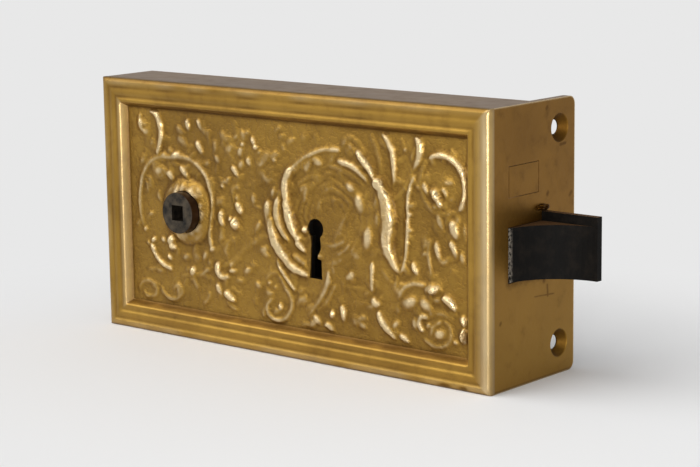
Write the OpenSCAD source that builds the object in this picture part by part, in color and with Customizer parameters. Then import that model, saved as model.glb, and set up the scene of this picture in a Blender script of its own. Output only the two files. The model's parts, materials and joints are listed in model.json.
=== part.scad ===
// Ornate cast-brass rim lock, all sizes in millimetres.
// It stands on its bottom edge: +X points out of the forend, along the bolts' throw,
// +Y points from the ornamental front towards the door, and +Z is up.
// The modules below draw in lock coordinates: x from the free end of the case, y from the
// highest face of the front moulding, z from the bottom edge. placed() moves them to the origin.

/* [Case] */
// Length of the case, free end to forend face
case_length = 152; // [146:1:190]
// Height of the case and the forend
case_height = 80; // [80:1:100]
// Depth of the side walls, from the front face to the door
case_depth = 22.3; // [21.5:0.1:26]
// Thickness of the side walls
wall = 2.5; // [2:0.1:3]
// Depth of the sunk front panel below the moulding
panel_depth = 2.5; // [2.4:0.1:3]
// Thickness of the metal behind the sunk panel
panel_thick = 2; // [1.6:0.1:2.4]
// Radius of the front outer edges
front_edge_r = 1; // [0.8:0.1:2]

/* [Front moulding, widths from the outer edge inwards] */
// Rounded outer rim
rim_w = 2.3; // [2.1:0.1:3]
// Groove inside the rim
groove_w = 0.9; // [0.6:0.1:1.2]
// Flat band
band_w = 2.1; // [1.5:0.1:3]
// Fine groove between band and bead
fine_w = 0.5; // [0.3:0.1:0.8]
// Radius of the round bead
bead_r = 1.2; // [0.8:0.1:1.4]
// Width of the slope from the bead down to the panel
cove_w = 0.8; // [0.5:0.1:1.2]

/* [Forend] */
// Width of the forend, front face to the edge that laps the door
forend_width = 41; // [38:0.5:48]
// Thickness of the forend
forend_thick = 2.5; // [2:0.1:3]
// Radius of the two outer corners of the lip
lip_corner_r = 2.5; // [1:0.5:6]
// Distance of the fixing holes from the front face
lip_hole_y = 33.5; // [30:0.5:35]
// Height of the lower fixing hole
lip_hole_low = 9; // [8:0.5:14]
// Distance of the upper fixing hole below the top edge
lip_hole_top = 8.5; // [8:0.5:14]
// Radius of the fixing holes
lip_hole_r = 2.1; // [1.6:0.1:2.6]
// Radius of their countersinks
lip_sink_r = 4.2; // [3.5:0.1:5]

/* [Hub] */
// Hub axis, distance from the forend face
hub_backset = 117.5; // [114:0.5:118]
// Height of the hub axis and of the keyhole
axis_height = 40; // [40:0.5:42]
// Radius of the hub's journals
journal_r = 6.4; // [5.2:0.1:7.7]
// Across flats of the square spindle hole
spindle_square = 4.8; // [4.5:0.1:7]
// How far the hub stands out of the front face
hub_proud = 2.5; // [1:0.1:5]
// Width of the raised boss ring round the hub
boss_rim = 3; // [1.5:0.1:4]
// Angle the hub turns to draw the latch right in
hub_angle = 50; // [45:1:52]

/* [Key] */
// Keyhole axis, distance from the forend face
key_backset = 65; // [62:0.5:66]
// Radius of the keyhole's round part
key_pin_r = 3; // [2.5:0.1:4]
// Reach of the key's bit from the keyhole axis
key_bit_reach = 15; // [14:0.5:15.5]
// Width of the keyhole slot at its top
slot_top_w = 3.6; // [3:0.1:4]
// Width of the keyhole slot at its bottom
slot_foot_w = 5; // [3:0.1:5]
// How far the cast tooth on the slot's right side reaches into it
slot_tooth = 1.4; // [0.4:0.1:1.8]

/* [Latch bolt] */
// How far the latch stands out of the forend, and its travel
latch_throw = 18; // [14:0.5:18]
// Extra length of the nose that stays out when the latch is drawn in
latch_rest_nose = 0.6; // [0.2:0.1:1.5]
// Bottom of the latch head
latch_low = 30.6; // [29:0.1:32]
// Height of the latch head
latch_head_h = 15.4; // [12:0.1:15.5]
// Front face of the latch head, from the front of the lock
latch_front = 9; // [8:0.1:10]
// Depth of the latch head from its front face
latch_depth = 16; // [14:0.1:17]
// Thickness of the tall flange at the back of the head
flange_thick = 2.2; // [1.5:0.1:2.5]
// Extra height of that flange
flange_rise = 2.7; // [1.5:0.1:3]
// Depth of the hollow in the bevelled front face
bevel_hollow = 4.5; // [2:0.1:4.6]

/* [Dead bolt] */
// Travel of the dead bolt
dead_throw = 11; // [9:0.5:12]
// Width of the dead bolt's head, front to back
dead_w = 13.9; // [12:0.1:14]
// Height of the dead bolt's head
dead_h = 8.5; // [7:0.1:10]
// Bottom of the dead bolt's head
dead_low = 54.6; // [54:0.1:56]
// Front face of the dead bolt, from the front of the lock
dead_front = 9.2; // [8:0.1:10]

/* [Back cap] */
// Thickness of the iron back cap
cap_thick = 1.5; // [1:0.1:2]
// How far the dished middle stands behind the case
dish_proud = 7.5; // [7.3:0.1:10]
// Width of the flat rim round the dish
cap_rim = 10.5; // [10.5:0.1:12]

/* [Fits] */
// Radial clearance of a turning fit
turn_fit = 0.06; // [0.02:0.01:0.1]
// Gap round a sliding bolt
slide_fit = 0.25; // [0.15:0.05:0.4]
// Gap between a moving piece and anything beside it
side_gap = 0.3; // [0.2:0.05:0.5]

/* [Hidden] */
$fn = 64;
eps = 0.01;
// How far a cut runs past the face it opens, and a joined piece into its neighbour
cut = 1;

// Gap between the cap and the case's walls, and how far the hub stands behind the dish
cap_gap = 0.2;

// Depths, front to back
panel_back = panel_depth + panel_thick;
cap_seat = case_depth - cap_thick;
dish_back = case_depth + dish_proud;
dish_inner = dish_back - cap_thick;
gear_front = 13;
gear_thick = 5;
gear_back = gear_front + gear_thick;
gear_mid = gear_front + gear_thick / 2;

// Moulding
moulding_w = rim_w + groove_w + band_w + fine_w + 2 * bead_r + cove_w;
band_drop = 0.2;
fine_depth = 0.95;
bead_drop = 0.4;
bead_centre_y = bead_drop + bead_r;
groove_in = rim_w;
band_in = groove_in + groove_w;
fine_in = band_in + band_w;
bead_in = fine_in + fine_w;

// Keyhole tooth: height of its tip and of its upper flank
tooth_drop = 8.8;
tooth_rise = 2.8;

// Hub and the horns that draw the latch
hub_x = case_length - hub_backset;
hub_body_r = journal_r + 2.1;
boss_r = journal_r + boss_rim;
boss_face = 1.5;
hub_front = -hub_proud;
hub_back = dish_back + cap_gap;
body_front = panel_back + side_gap;
body_back = dish_inner - side_gap;
draw_ratio = latch_throw / (hub_angle * PI / 180);
horn_reach = 1.066 * draw_ratio;
horn_tip_r = 2.5;
horn_root_w = 3;
horn_slack = 0.5;

// Latch tail, and how far both bolt heads reach inside the forend's face
head_inside = 24;
latch_top = latch_low + latch_head_h;
flange_front = latch_front + latch_depth;
latch_back = flange_front + flange_thick;
flange_top = latch_top + flange_rise;
nose_x = case_length + latch_throw + latch_rest_nose;
head_in_x = case_length - head_inside;
bar_low = wall + 1.5;
bar_h = 9;
bar_mid = bar_low + bar_h / 2;
riser_w = 12;
riser_x = head_in_x - 3;
stub_face = hub_x - horn_tip_r - horn_slack;
stub_w = 4;
yoke_bar_w = 4;
yoke_gap = 1.2;
yoke_open = 14;
yoke_x = hub_x - hub_body_r - yoke_gap - yoke_bar_w;
yoke_link_low = axis_height - horn_reach + 1;
yoke_link_top = axis_height - yoke_open;
yoke_top_low = axis_height + yoke_open;
yoke_top = axis_height + horn_reach + horn_tip_r + horn_slack;

// Guide studs and the slots that run on them
stud_r = 2;
slot_half = stud_r + 0.1;
stud_foot_r = 3.5;
stud_seat = panel_depth + 0.6;
neck_slack = 0.4;
stud_head_r = 3.2;
stud_head_h = 1.6;
stud_washer_h = 0.6;
stud_washer_r = stud_head_r + 0.8;
latch_stud_x = [hub_x + 10.5, case_length - 57];

// Dead bolt tail
dead_mid = dead_low + dead_h / 2 + 0.2;
dead_tail_h = 12;
dead_tail_low = dead_mid - dead_tail_h / 2;
dead_tail_top = dead_tail_low + dead_tail_h;
key_x = case_length - key_backset;
dead_head_in_x = case_length - head_inside;
dead_tail_x = hub_x + 22;
dead_stud_x = [dead_tail_x + dead_throw + slot_half + 2.4, dead_head_in_x - 10];
talon_left = key_x - 8.4;
talon_w = 5.2;
talon_depth = 3.4;
notch_r = 1.2;
notch_x = key_x + 13;

// Detent spring over the dead bolt
detent_thick = 0.6;
detent_w = 4;
detent_nose_x = notch_x;
detent_tip_x = notch_x - 5;
detent_fix_x = notch_x + 27;
detent_flat_z = dead_tail_top + 4.6;
detent_nose_z = dead_tail_top - 0.55;
lug_w = 9;
detent_screw_r = 1.4;
detent_washer_h = 0.5;

// Latch spring, a long blade held in a slit post
spring_thick = 0.7;
spring_y = 7;
spring_w = 4;
spring_post_x = hub_x + 22;
spring_post_z = dead_tail_top + 6.4;
spring_post_r = 3;
spring_end_z = bar_low + 0.5;
peg_r = 2;
peg_x = latch_stud_x[0] + 25.5;
peg_front = spring_y - 1;

// Back cap
dish_corner_r = 6;
cap_corner_r = 0.8;

// Cap screws and the posts they enter
post_r = 3;
screw_r = 1.5;
cap_screw_head_r = 2.8;
cap_screw_head_h = 1.2;
screw_length = 7;
driver_slot_w = 0.7;
driver_slot_h = 0.6;
post_spots = [
    [wall + 3.2, wall + 4.3],
    [wall + 4.2, case_height - wall - 4.3],
    [case_length - forend_thick - 5, wall + 4.3],
    [case_length - forend_thick - 5, case_height - wall - 4.3]
];

// Wards
ward_in_r = 8;
ward_out_r = 9.2;
ward_h = 3.5;
ward_gap = 0.4;
ward_mid_r = (ward_in_r + ward_out_r) / 2;
ward_rivet_r = 0.9;
ward_rivet_head_r = 1.7;
bridge_y = 15.2;
bridge_thick = 1.4;
bridge_half = 18.5;
bridge_end = 2.7;
bridge_h = 15;
pillar_r = 2.2;

// Where the lock frame's origin lies in lock coordinates: the middle of the box, at its base
origin_x = nose_x / 2;
origin_y = (hub_front + forend_width) / 2;

// ---------------------------------------------------------------- helpers

module placed() {
    translate([-origin_x, -origin_y, 0]) children();
}

// A round bar along +Y from y = from to y = to, standing at (x, z)
module bar_y(x, z, r, from, to) {
    translate([x, to, z]) rotate([90, 0, 0]) cylinder(h = to - from, r = r);
}

// A block given by its lowest and highest corners
module block(low, high) {
    translate(low) cube(high - low);
}

// A flat outline in x and z, carried along +Y from y = from to y = to
module plate_y(from, to) {
    translate([0, to, 0]) rotate([90, 0, 0]) linear_extrude(height = to - from) children();
}

// A plan outline in x and y, carried along +Z from z = from to z = to
module plate_z(from, to) {
    translate([0, 0, from]) linear_extrude(height = to - from) children();
}

function arc_points(cx, cy, r, from, to, steps) = [
    for (i = [0 : steps])
        let (a = from + (to - from) * i / steps)
        [cx + r * cos(a), cy + r * sin(a)]
];

// ---------------------------------------------------------------- case

// Section of the moulding: first number inwards from the edge, second number the depth
function moulding_section() = concat(
    [[0, panel_depth + cut]],
    arc_points(front_edge_r, front_edge_r, front_edge_r, 180, 270, 8),
    [[groove_in, 0]],
    arc_points(groove_in + groove_w / 2, 0, groove_w / 2, 180, 0, 6),
    [[band_in, band_drop], [fine_in, band_drop], [fine_in + 0.1, fine_depth],
     [bead_in - 0.1, fine_depth], [bead_in, bead_centre_y]],
    arc_points(bead_in + bead_r, bead_centre_y, bead_r, 180, 360, 12),
    [[moulding_w, panel_depth], [moulding_w, panel_depth + cut]]
);

// One side of the front frame, along +X, mitred at both ends
module moulding_side(side_length) {
    intersection() {
        rotate([90, 0, 90]) linear_extrude(height = side_length)
            polygon([for (p = moulding_section()) [p[1], p[0]]]);
        plate_y(-cut, panel_depth + 2 * cut)
            polygon([[0, 0], [side_length, 0],
                [side_length - moulding_w - cut, moulding_w + cut], [moulding_w + cut, moulding_w + cut]]);
    }
}

module front_frame() {
    moulding_side(case_length);
    translate([case_length, 0, case_height]) rotate([0, 180, 0]) moulding_side(case_length);
    translate([0, 0, case_height]) rotate([0, 90, 0]) moulding_side(case_height);
    translate([case_length, 0, 0]) rotate([0, -90, 0]) moulding_side(case_height);
}

module case_shell() {
    difference() {
        block([0, panel_depth, 0], [case_length, case_depth, case_height]);
        block([wall, panel_back, wall],
            [case_length - forend_thick, case_depth + cut, case_height - wall]);
    }
}

module forend() {
    lip_from = case_depth - cut;
    difference() {
        translate([case_length - forend_thick, 0, 0]) rotate([90, 0, 90])
            linear_extrude(height = forend_thick) difference() {
                translate([lip_from, 0]) square([forend_width - lip_from, case_height]);
                for (top = [0, 1])
                    translate([forend_width, top * case_height]) mirror([0, top]) lip_corner();
            }
        for (z = [lip_hole_low, case_height - lip_hole_top])
            translate([case_length, lip_hole_y, z]) rotate([0, 90, 0]) {
                translate([0, 0, -forend_thick - cut]) cylinder(h = forend_thick + 2 * cut, r = lip_hole_r);
                translate([0, 0, lip_hole_r - lip_sink_r])
                    cylinder(h = lip_sink_r - lip_hole_r + eps, r1 = lip_hole_r, r2 = lip_sink_r + eps);
            }
    }
}

// What the rounded corner of the lip takes away from a square one
module lip_corner() {
    difference() {
        translate([-lip_corner_r, -cut]) square([lip_corner_r + cut, lip_corner_r + cut]);
        translate([-lip_corner_r, lip_corner_r]) circle(r = lip_corner_r);
    }
}

module keyhole_shape() {
    translate([key_x, axis_height]) circle(r = key_pin_r);
    translate([key_x, axis_height]) polygon([
        [-slot_top_w / 2, 0], [slot_top_w / 2, 0],
        [slot_foot_w / 2, -key_bit_reach], [-slot_foot_w / 2, -key_bit_reach]]);
}

// Cast tooth in the front keyhole only, which a groove in the key's bit passes
module keyhole_tooth() {
    side = (slot_top_w + (slot_foot_w - slot_top_w) * tooth_drop / key_bit_reach) / 2;
    translate([key_x, axis_height - tooth_drop]) polygon([
        [side - slot_tooth, 0], [slot_foot_w / 2, -0.4], [slot_foot_w / 2, tooth_rise]]);
}

// Mortice for the latch head, a little larger all round
module latch_mortice() {
    g = slide_fit;
    x = case_length - forend_thick - cut;
    block([x, latch_front - g, latch_low - g], [case_length + cut, latch_back + g, latch_top + g]);
    block([x, flange_front - g, latch_low - g], [case_length + cut, latch_back + g, flange_top + g]);
}

module dead_mortice() {
    g = slide_fit;
    block([case_length - forend_thick - cut, dead_front - g, dead_low - g],
        [case_length + cut, dead_front + dead_w + g, dead_low + dead_h + g]);
}

// Cast lug under the top wall that carries the detent spring
module detent_lug() {
    block([detent_fix_x - lug_w / 2, panel_back - 1, detent_flat_z + detent_thick],
        [detent_fix_x + lug_w / 2, gear_back + 1, case_height - wall + 1]);
}

module case() {
    color("#b08a45") placed() difference() {
        union() {
            case_shell();
            front_frame();
            forend();
            for (p = post_spots) bar_y(p[0], p[1], post_r, panel_back - cut, cap_seat);
            detent_lug();
            bar_y(hub_x, axis_height, boss_r, boss_face, panel_back - 0.5);
            difference() {
                bar_y(key_x, axis_height, ward_out_r, panel_back - cut, panel_back + ward_h);
                bar_y(key_x, axis_height, ward_in_r, panel_back - 2 * cut, panel_back + ward_h + cut);
                block([key_x - slot_foot_w / 2 - ward_gap, panel_back, axis_height - ward_out_r - cut],
                    [key_x + slot_foot_w / 2 + ward_gap, panel_back + ward_h + cut, axis_height]);
            }
        }
        plate_y(-cut, panel_back + cut) difference() {
            keyhole_shape();
            keyhole_tooth();
        }
        bar_y(hub_x, axis_height, journal_r + turn_fit, -cut, panel_back + cut);
        latch_mortice();
        dead_mortice();
        for (p = post_spots) bar_y(p[0], p[1], screw_r, cap_seat - screw_length - cut, cap_seat + cut);
        translate([detent_fix_x, gear_mid, detent_flat_z])
            cylinder(h = 6, r = detent_screw_r);
        for (x = latch_stud_x) bar_y(x, bar_mid, stud_r, stud_seat, panel_back + cut);
        for (x = dead_stud_x) bar_y(x, dead_mid, stud_r, stud_seat, panel_back + cut);
        bar_y(spring_post_x, spring_post_z, stud_r, stud_seat, panel_back + cut);
    }
}

// ---------------------------------------------------------------- back cap and its fixings

// Outline of the cap or its dish, round at the two free corners, square at the forend
module cap_outline(inset, out_x, corner_r) {
    low = wall + inset;
    high = case_height - low;
    translate([low + corner_r, low]) square([out_x - low - corner_r, high - low]);
    translate([low, low + corner_r]) square([out_x - low, high - low - 2 * corner_r]);
    for (z = [low + corner_r, high - corner_r]) translate([low + corner_r, z]) circle(r = corner_r);
}

module back_cap() {
    edge_x = case_length - forend_thick - cap_gap;
    dish_in = cap_rim + cap_thick;
    color("#4a4642") placed() difference() {
        union() {
            plate_y(cap_seat, case_depth) cap_outline(cap_gap, edge_x, cap_corner_r);
            plate_y(cap_seat, dish_back) cap_outline(cap_rim, edge_x, dish_corner_r);
        }
        plate_y(cap_seat - cut, dish_inner)
            cap_outline(dish_in, edge_x + cut, dish_corner_r - cap_thick);
        plate_y(dish_inner - cut, dish_back + cut) keyhole_shape();
        bar_y(hub_x, axis_height, journal_r + turn_fit, dish_inner - cut, dish_back + cut);
        for (p = post_spots) {
            bar_y(p[0], p[1], screw_r + 0.1, cap_seat - cut, case_depth + cut);
        }
        for (s = [-1, 1])
            bar_y(key_x + s * ward_mid_r, axis_height, ward_rivet_r,
                dish_inner - cut, dish_back + cut);
    }
}

// Cheese-head screws with a driving slot, head on the cap, shank in the cast post
module cap_screws() {
    color("#5a5650") placed() for (p = post_spots) difference() {
        union() {
            bar_y(p[0], p[1], screw_r, cap_seat - screw_length, case_depth + cap_gap);
            bar_y(p[0], p[1], cap_screw_head_r, case_depth, case_depth + cap_screw_head_h);
        }
        block([p[0] - driver_slot_w / 2, case_depth + cap_screw_head_h - driver_slot_h, p[1] - 4],
            [p[0] + driver_slot_w / 2, case_depth + cap_screw_head_h + cut, p[1] + 4]);
    }
}

// ---------------------------------------------------------------- hub

module horn_outline() {
    polygon([[-horn_root_w, 0], [horn_root_w, 0],
        [horn_tip_r, horn_reach], [-horn_tip_r, horn_reach]]);
    translate([0, horn_reach]) circle(r = horn_tip_r);
}

module hub() {
    square_half = spindle_square / 2;
    color("#3f4144") placed() difference() {
        union() {
            bar_y(hub_x, axis_height, journal_r, hub_front, hub_back);
            bar_y(hub_x, axis_height, hub_body_r, body_front, body_back);
            translate([hub_x, 0, axis_height]) plate_y(gear_front + 0.2, gear_back - 0.2) {
                horn_outline();
                rotate(180) horn_outline();
            }
        }
        block([hub_x - square_half, hub_front - cut, axis_height - square_half],
            [hub_x + square_half, hub_back + cut, axis_height + square_half]);
    }
}

// ---------------------------------------------------------------- latch

// Plan of the head: straight back, hollow bevel from the forend's front root to the nose
module latch_head_plan() {
    from = [case_length, latch_front + 0.5];
    to = [nose_x, flange_front];
    chord = norm(to - from);
    r = chord * chord / (8 * bevel_hollow) + bevel_hollow / 2;
    along = (to - from) / chord;
    across = [-along[1], along[0]];
    centre = (from + to) / 2 + across * (bevel_hollow - r);
    a_from = atan2(from[1] - centre[1], from[0] - centre[0]);
    a_to = atan2(to[1] - centre[1], to[0] - centre[0]);
    polygon(concat(
        [[head_in_x, latch_back], [head_in_x, latch_front], [case_length, latch_front]],
        arc_points(centre[0], centre[1], r, a_from, a_to, 16),
        [[nose_x, latch_back]]));
}

module latch_slots() {
    for (x = latch_stud_x) {
        translate([x - slot_half - 0.1, bar_mid - slot_half])
            square([latch_throw + 2 * slot_half + 0.2, 2 * slot_half]);
    }
}

module latch_bolt() {
    color("#1d1b19") placed() difference() {
        union() {
            plate_z(latch_low, latch_top) latch_head_plan();
            block([head_in_x, flange_front, latch_low], [nose_x, latch_back, flange_top]);
            plate_y(gear_front, gear_back) difference() {
                union() {
                    translate([stub_face - stub_w + 1, bar_low])
                        square([riser_x + riser_w - stub_face + stub_w - 1, bar_h]);
                    translate([riser_x, bar_low]) square([riser_w, latch_top - bar_low]);
                    translate([stub_face - stub_w, bar_low + 2])
                        square([stub_w, yoke_link_top - bar_low - 2]);
                    translate([yoke_x, yoke_link_low])
                        square([stub_face - yoke_x, yoke_link_top - yoke_link_low]);
                    translate([yoke_x, yoke_link_low])
                        square([yoke_bar_w, yoke_top - yoke_link_low]);
                    translate([yoke_x, yoke_top_low])
                        square([stub_face - yoke_x, yoke_top - yoke_top_low]);
                }
                latch_slots();
            }
        }
        bar_y(peg_x, bar_mid, peg_r, gear_front - cut, gear_back + cut);
    }
}

// Riveted peg that the spring's free end presses on
module latch_peg() {
    color("#6b6660") placed() bar_y(peg_x, bar_mid, peg_r, peg_front, gear_back);
}

// Shouldered studs: foot in the case, the slotted bar runs on the neck, head on top
module guide_stud(x, z) {
    neck_end = gear_back + neck_slack;
    bar_y(x, z, stud_r, stud_seat, neck_end + stud_washer_h);
    bar_y(x, z, stud_foot_r, panel_back, gear_front - 0.2);
    bar_y(x, z, stud_head_r, neck_end + stud_washer_h, neck_end + stud_washer_h + stud_head_h);
}

module latch_guide_studs() {
    color("#77716a") placed() for (x = latch_stud_x) guide_stud(x, bar_mid);
}

module dead_bolt_studs() {
    color("#77716a") placed() for (x = dead_stud_x) guide_stud(x, dead_mid);
}

module stud_washer(x, z) {
    difference() {
        bar_y(x, z, stud_washer_r, gear_back + neck_slack, gear_back + neck_slack + stud_washer_h);
        bar_y(x, z, stud_r + turn_fit, gear_back, gear_back + 2 * cut);
    }
}

module stud_washers() {
    color("#a98a4c") placed() {
        for (x = latch_stud_x) stud_washer(x, bar_mid);
        for (x = dead_stud_x) stud_washer(x, dead_mid);
    }
}

// ---------------------------------------------------------------- latch spring

// Centre line of the blade: straight in the post, then bowed towards the peg
function blade_x(z) =
    let (drop = max(0, spring_post_z - spring_post_r - z),
         run = spring_post_z - spring_post_r - bar_mid,
         reach = peg_x - peg_r - 0.1 - spring_thick / 2 - spring_post_x)
    spring_post_x + reach * pow(drop / run, 2) * (1.6 - 0.6 * drop / run);

module latch_spring() {
    top = spring_post_z + spring_post_r + 1;
    steps = 24;
    heights = [for (i = [0 : steps]) top + (spring_end_z - top) * i / steps];
    color("#5f6468") placed() plate_y(spring_y, spring_y + spring_w) polygon(concat(
        [for (z = heights) [blade_x(z) - spring_thick / 2, z]],
        [for (i = [0 : steps]) [blade_x(heights[steps - i]) + spring_thick / 2, heights[steps - i]]]
    ));
}

module latch_spring_post() {
    color("#77716a") placed() difference() {
        union() {
            bar_y(spring_post_x, spring_post_z, stud_r, stud_seat, panel_back + cut);
            bar_y(spring_post_x, spring_post_z, spring_post_r, panel_back, spring_y + spring_w + 0.4);
        }
        block([spring_post_x - spring_thick / 2, spring_y, spring_post_z - spring_post_r - 1],
            [spring_post_x + spring_thick / 2, spring_y + spring_w + 1,
             spring_post_z + spring_post_r + 1]);
    }
}

// ---------------------------------------------------------------- dead bolt

module dead_bolt() {
    color("#b08a45") placed() {
        difference() {
            union() {
                block([dead_head_in_x, dead_front, dead_low],
                    [case_length, dead_front + dead_w, dead_low + dead_h]);
                plate_y(gear_front, gear_back) difference() {
                    translate([dead_tail_x, dead_tail_low])
                        square([dead_head_in_x + 1 - dead_tail_x, dead_tail_h]);
                    translate([talon_left, dead_tail_low - 1]) square([talon_w, talon_depth + 1]);
                    for (x = dead_stud_x)
                        translate([x - dead_throw - slot_half - 0.1, dead_mid - slot_half])
                            square([dead_throw + 2 * slot_half + 0.2, 2 * slot_half]);
                }
            }
            for (x = [notch_x, notch_x - dead_throw])
                bar_y(x, dead_tail_top, notch_r, gear_front - cut, gear_back + cut);
        }
    }
}

// Blade with a rounded nose that rests in one of the bolt's two notches
module detent_spring() {
    half = detent_thick / 2;
    low = detent_nose_z + half;
    lift = detent_flat_z + half;
    line = [
        [detent_tip_x, low + 2.2], [detent_nose_x - notch_r, low + 0.75], [detent_nose_x, low],
        [detent_nose_x + notch_r, low + 0.75], [detent_nose_x + 8, lift - 1.2],
        [detent_nose_x + 16, lift], [detent_fix_x + lug_w / 2, lift]
    ];
    color("#5f6468") placed() difference() {
        plate_y(gear_mid - detent_w / 2, gear_mid + detent_w / 2) polygon(concat(
            [for (p = line) [p[0], p[1] - half]],
            [for (i = [0 : len(line) - 1]) line[len(line) - 1 - i] + [0, half]]));
        translate([detent_fix_x, gear_mid, detent_flat_z - 1])
            cylinder(h = detent_thick + 2, r = detent_screw_r);
    }
}

module detent_spring_washer() {
    h = detent_washer_h;
    color("#a98a4c") placed() translate([detent_fix_x, gear_mid, detent_flat_z - h]) difference() {
        cylinder(h = h, r = 3);
        translate([0, 0, -cut]) cylinder(h = h + 2 * cut, r = detent_screw_r);
    }
}

module detent_spring_screw() {
    head_h = 1.4;
    low = detent_flat_z - detent_washer_h;
    color("#5a5650") placed() translate([detent_fix_x, gear_mid, low]) difference() {
        union() {
            cylinder(h = detent_washer_h + 5, r = detent_screw_r);
            translate([0, 0, -head_h]) cylinder(h = head_h, r = 2.4);
        }
        translate([-3, -driver_slot_w / 2, -head_h - cut]) cube([6, driver_slot_w, cut + driver_slot_h]);
    }
}

// ---------------------------------------------------------------- wards

module back_ward() {
    front = dish_inner - ward_h;
    color("#6b6660") placed() difference() {
        bar_y(key_x, axis_height, ward_out_r, front, dish_inner);
        bar_y(key_x, axis_height, ward_in_r, front - cut, dish_inner + cut);
        block([key_x - slot_foot_w / 2 - ward_gap, front - cut, axis_height - ward_out_r - cut],
            [key_x + slot_foot_w / 2 + ward_gap, dish_inner + cut, axis_height]);
        for (s = [-1, 1])
            bar_y(key_x + s * ward_mid_r, axis_height, ward_rivet_r / 2,
                dish_inner - 2 * cut, dish_inner + cut);
    }
}

module ward_rivets() {
    color("#77716a") placed() for (s = [-1, 1]) {
        x = key_x + s * ward_mid_r;
        bar_y(x, axis_height, ward_rivet_r / 2, dish_inner - 2 * cut, dish_inner + eps);
        bar_y(x, axis_height, ward_rivet_r, dish_inner, dish_back);
        bar_y(x, axis_height, ward_rivet_head_r, dish_back, dish_back + 0.5);
    }
}

// Plate half way up the key's path, notched into the key's bit, on two pillars
module bridge_ward() {
    entry_w = slot_foot_w + 1.2;
    color("#6b6660") placed() plate_y(bridge_y, bridge_y + bridge_thick) difference() {
        translate([key_x - bridge_half, axis_height - bridge_h / 2])
            square([2 * bridge_half, bridge_h]);
        translate([key_x, axis_height]) circle(r = key_pin_r + 1.2);
        translate([key_x - entry_w / 2, axis_height - bridge_h]) square([entry_w, bridge_h]);
    }
}

module bridge_pillars() {
    color("#77716a") placed() for (s = [-1, 1])
        bar_y(key_x + s * (bridge_half - bridge_end), axis_height, pillar_r, panel_back, bridge_y);
}

// ---------------------------------------------------------------- what is drawn

case();
back_cap();
cap_screws();
hub();
latch_bolt();
latch_peg();
latch_guide_studs();
stud_washers();
latch_spring();
latch_spring_post();
dead_bolt();
dead_bolt_studs();
detent_spring();
detent_spring_screw();
detent_spring_washer();
back_ward();
ward_rivets();
bridge_ward();
bridge_pillars();
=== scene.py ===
"""Looks of an ornate cast-brass rim lock, laid out as an add-on and run as a script.

Lock coordinates, in millimetres, are used for everything on the case: x from the case's free
end, y from the highest face of the front moulding towards the door, z from the bottom edge.
in_frame() turns them into the frame's metres.
"""
import json
import math

import bpy
import numpy as np
from bpy.props import FloatProperty, FloatVectorProperty, PointerProperty
from mathutils import Matrix, Vector
from mathutils.geometry import tessellate_polygon


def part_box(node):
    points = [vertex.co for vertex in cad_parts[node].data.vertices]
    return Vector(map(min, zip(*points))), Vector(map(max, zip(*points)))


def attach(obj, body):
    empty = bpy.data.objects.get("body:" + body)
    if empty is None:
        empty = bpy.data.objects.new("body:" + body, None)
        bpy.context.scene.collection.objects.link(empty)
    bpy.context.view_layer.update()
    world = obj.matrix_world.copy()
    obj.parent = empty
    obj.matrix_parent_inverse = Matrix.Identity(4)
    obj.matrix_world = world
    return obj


bl_info = {
    "name": "Cast-brass rim lock",
    "version": (1, 0, 0),
    "blender": (4, 5, 0),
    "location": "3D View > Sidebar > Rim lock",
    "description": "Relief front, moulding, finishes and a plain studio for a rim lock",
    "category": "Add Mesh",
}

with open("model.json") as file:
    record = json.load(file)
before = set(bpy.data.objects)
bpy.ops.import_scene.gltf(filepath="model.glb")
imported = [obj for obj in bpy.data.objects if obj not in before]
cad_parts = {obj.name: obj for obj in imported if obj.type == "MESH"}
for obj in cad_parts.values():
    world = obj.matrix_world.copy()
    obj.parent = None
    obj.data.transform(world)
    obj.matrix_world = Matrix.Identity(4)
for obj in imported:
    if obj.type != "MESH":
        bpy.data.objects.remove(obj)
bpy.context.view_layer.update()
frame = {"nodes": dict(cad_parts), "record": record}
CASE_LOW, CASE_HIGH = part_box("case")
LATCH_LOW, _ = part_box("latch_bolt")
MM = 0.001  # metres in a millimetre
CASE_LENGTH = (CASE_HIGH.x - CASE_LOW.x) / MM
CASE_HEIGHT = (CASE_HIGH.z - CASE_LOW.z) / MM
MOUNTS = {m["name"]: m for m in frame["record"]["mounts"]}


# ------------------------------------------------------------------ places and colours


def in_frame(x, y, z):
    """Lock coordinates in millimetres, as numbers or arrays, to the frame's metres."""
    points = np.stack(np.broadcast_arrays(x, y, z), axis=-1) * MM
    return points + np.array([CASE_LOW.x, CASE_LOW.y, CASE_LOW.z])


def to_lock(point):
    """A point of the frame, in metres, to lock coordinates in millimetres."""
    return (np.array(point, float) - np.array(CASE_LOW)) / MM


HUB_X, _, HUB_Z = to_lock(MOUNTS["spindle"]["pos_m"])
KEY_X, _, KEY_Z = to_lock(MOUNTS["keyhole"]["pos_m"])
KEY_PIN_R = MOUNTS["keyhole"]["dims"]["r_mm"]
HUB_HOLE_R = 6.62  # the relief's hole, just clear of the hub
SINK_R = 4.15  # the forend's countersinks
FOREND_THICK = 2.5
# Corners of the latch's mortice in the forend, and of the dead bolt's head, in lock coordinates
MORTICE_LOW, MORTICE_HIGH = (CASE_LENGTH, 9.0, 30.6), (CASE_LENGTH, 27.2, 47.4)
DEAD_HEAD_LOW, DEAD_HEAD_HIGH = (CASE_LENGTH, 9.2, 54.6), (CASE_LENGTH, 23.1, 63.1)
# How far from the dead bolt the dirt in its gap begins and ends
GAP_NEAR, GAP_FAR = 0.03, 0.3
# Middle and half axes of the burr above the latch's back flange
BURR_MIDDLE, BURR_HALF = (CASE_LENGTH, 24.8, 49.95), (1.9, 2.7, 0.9)
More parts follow.
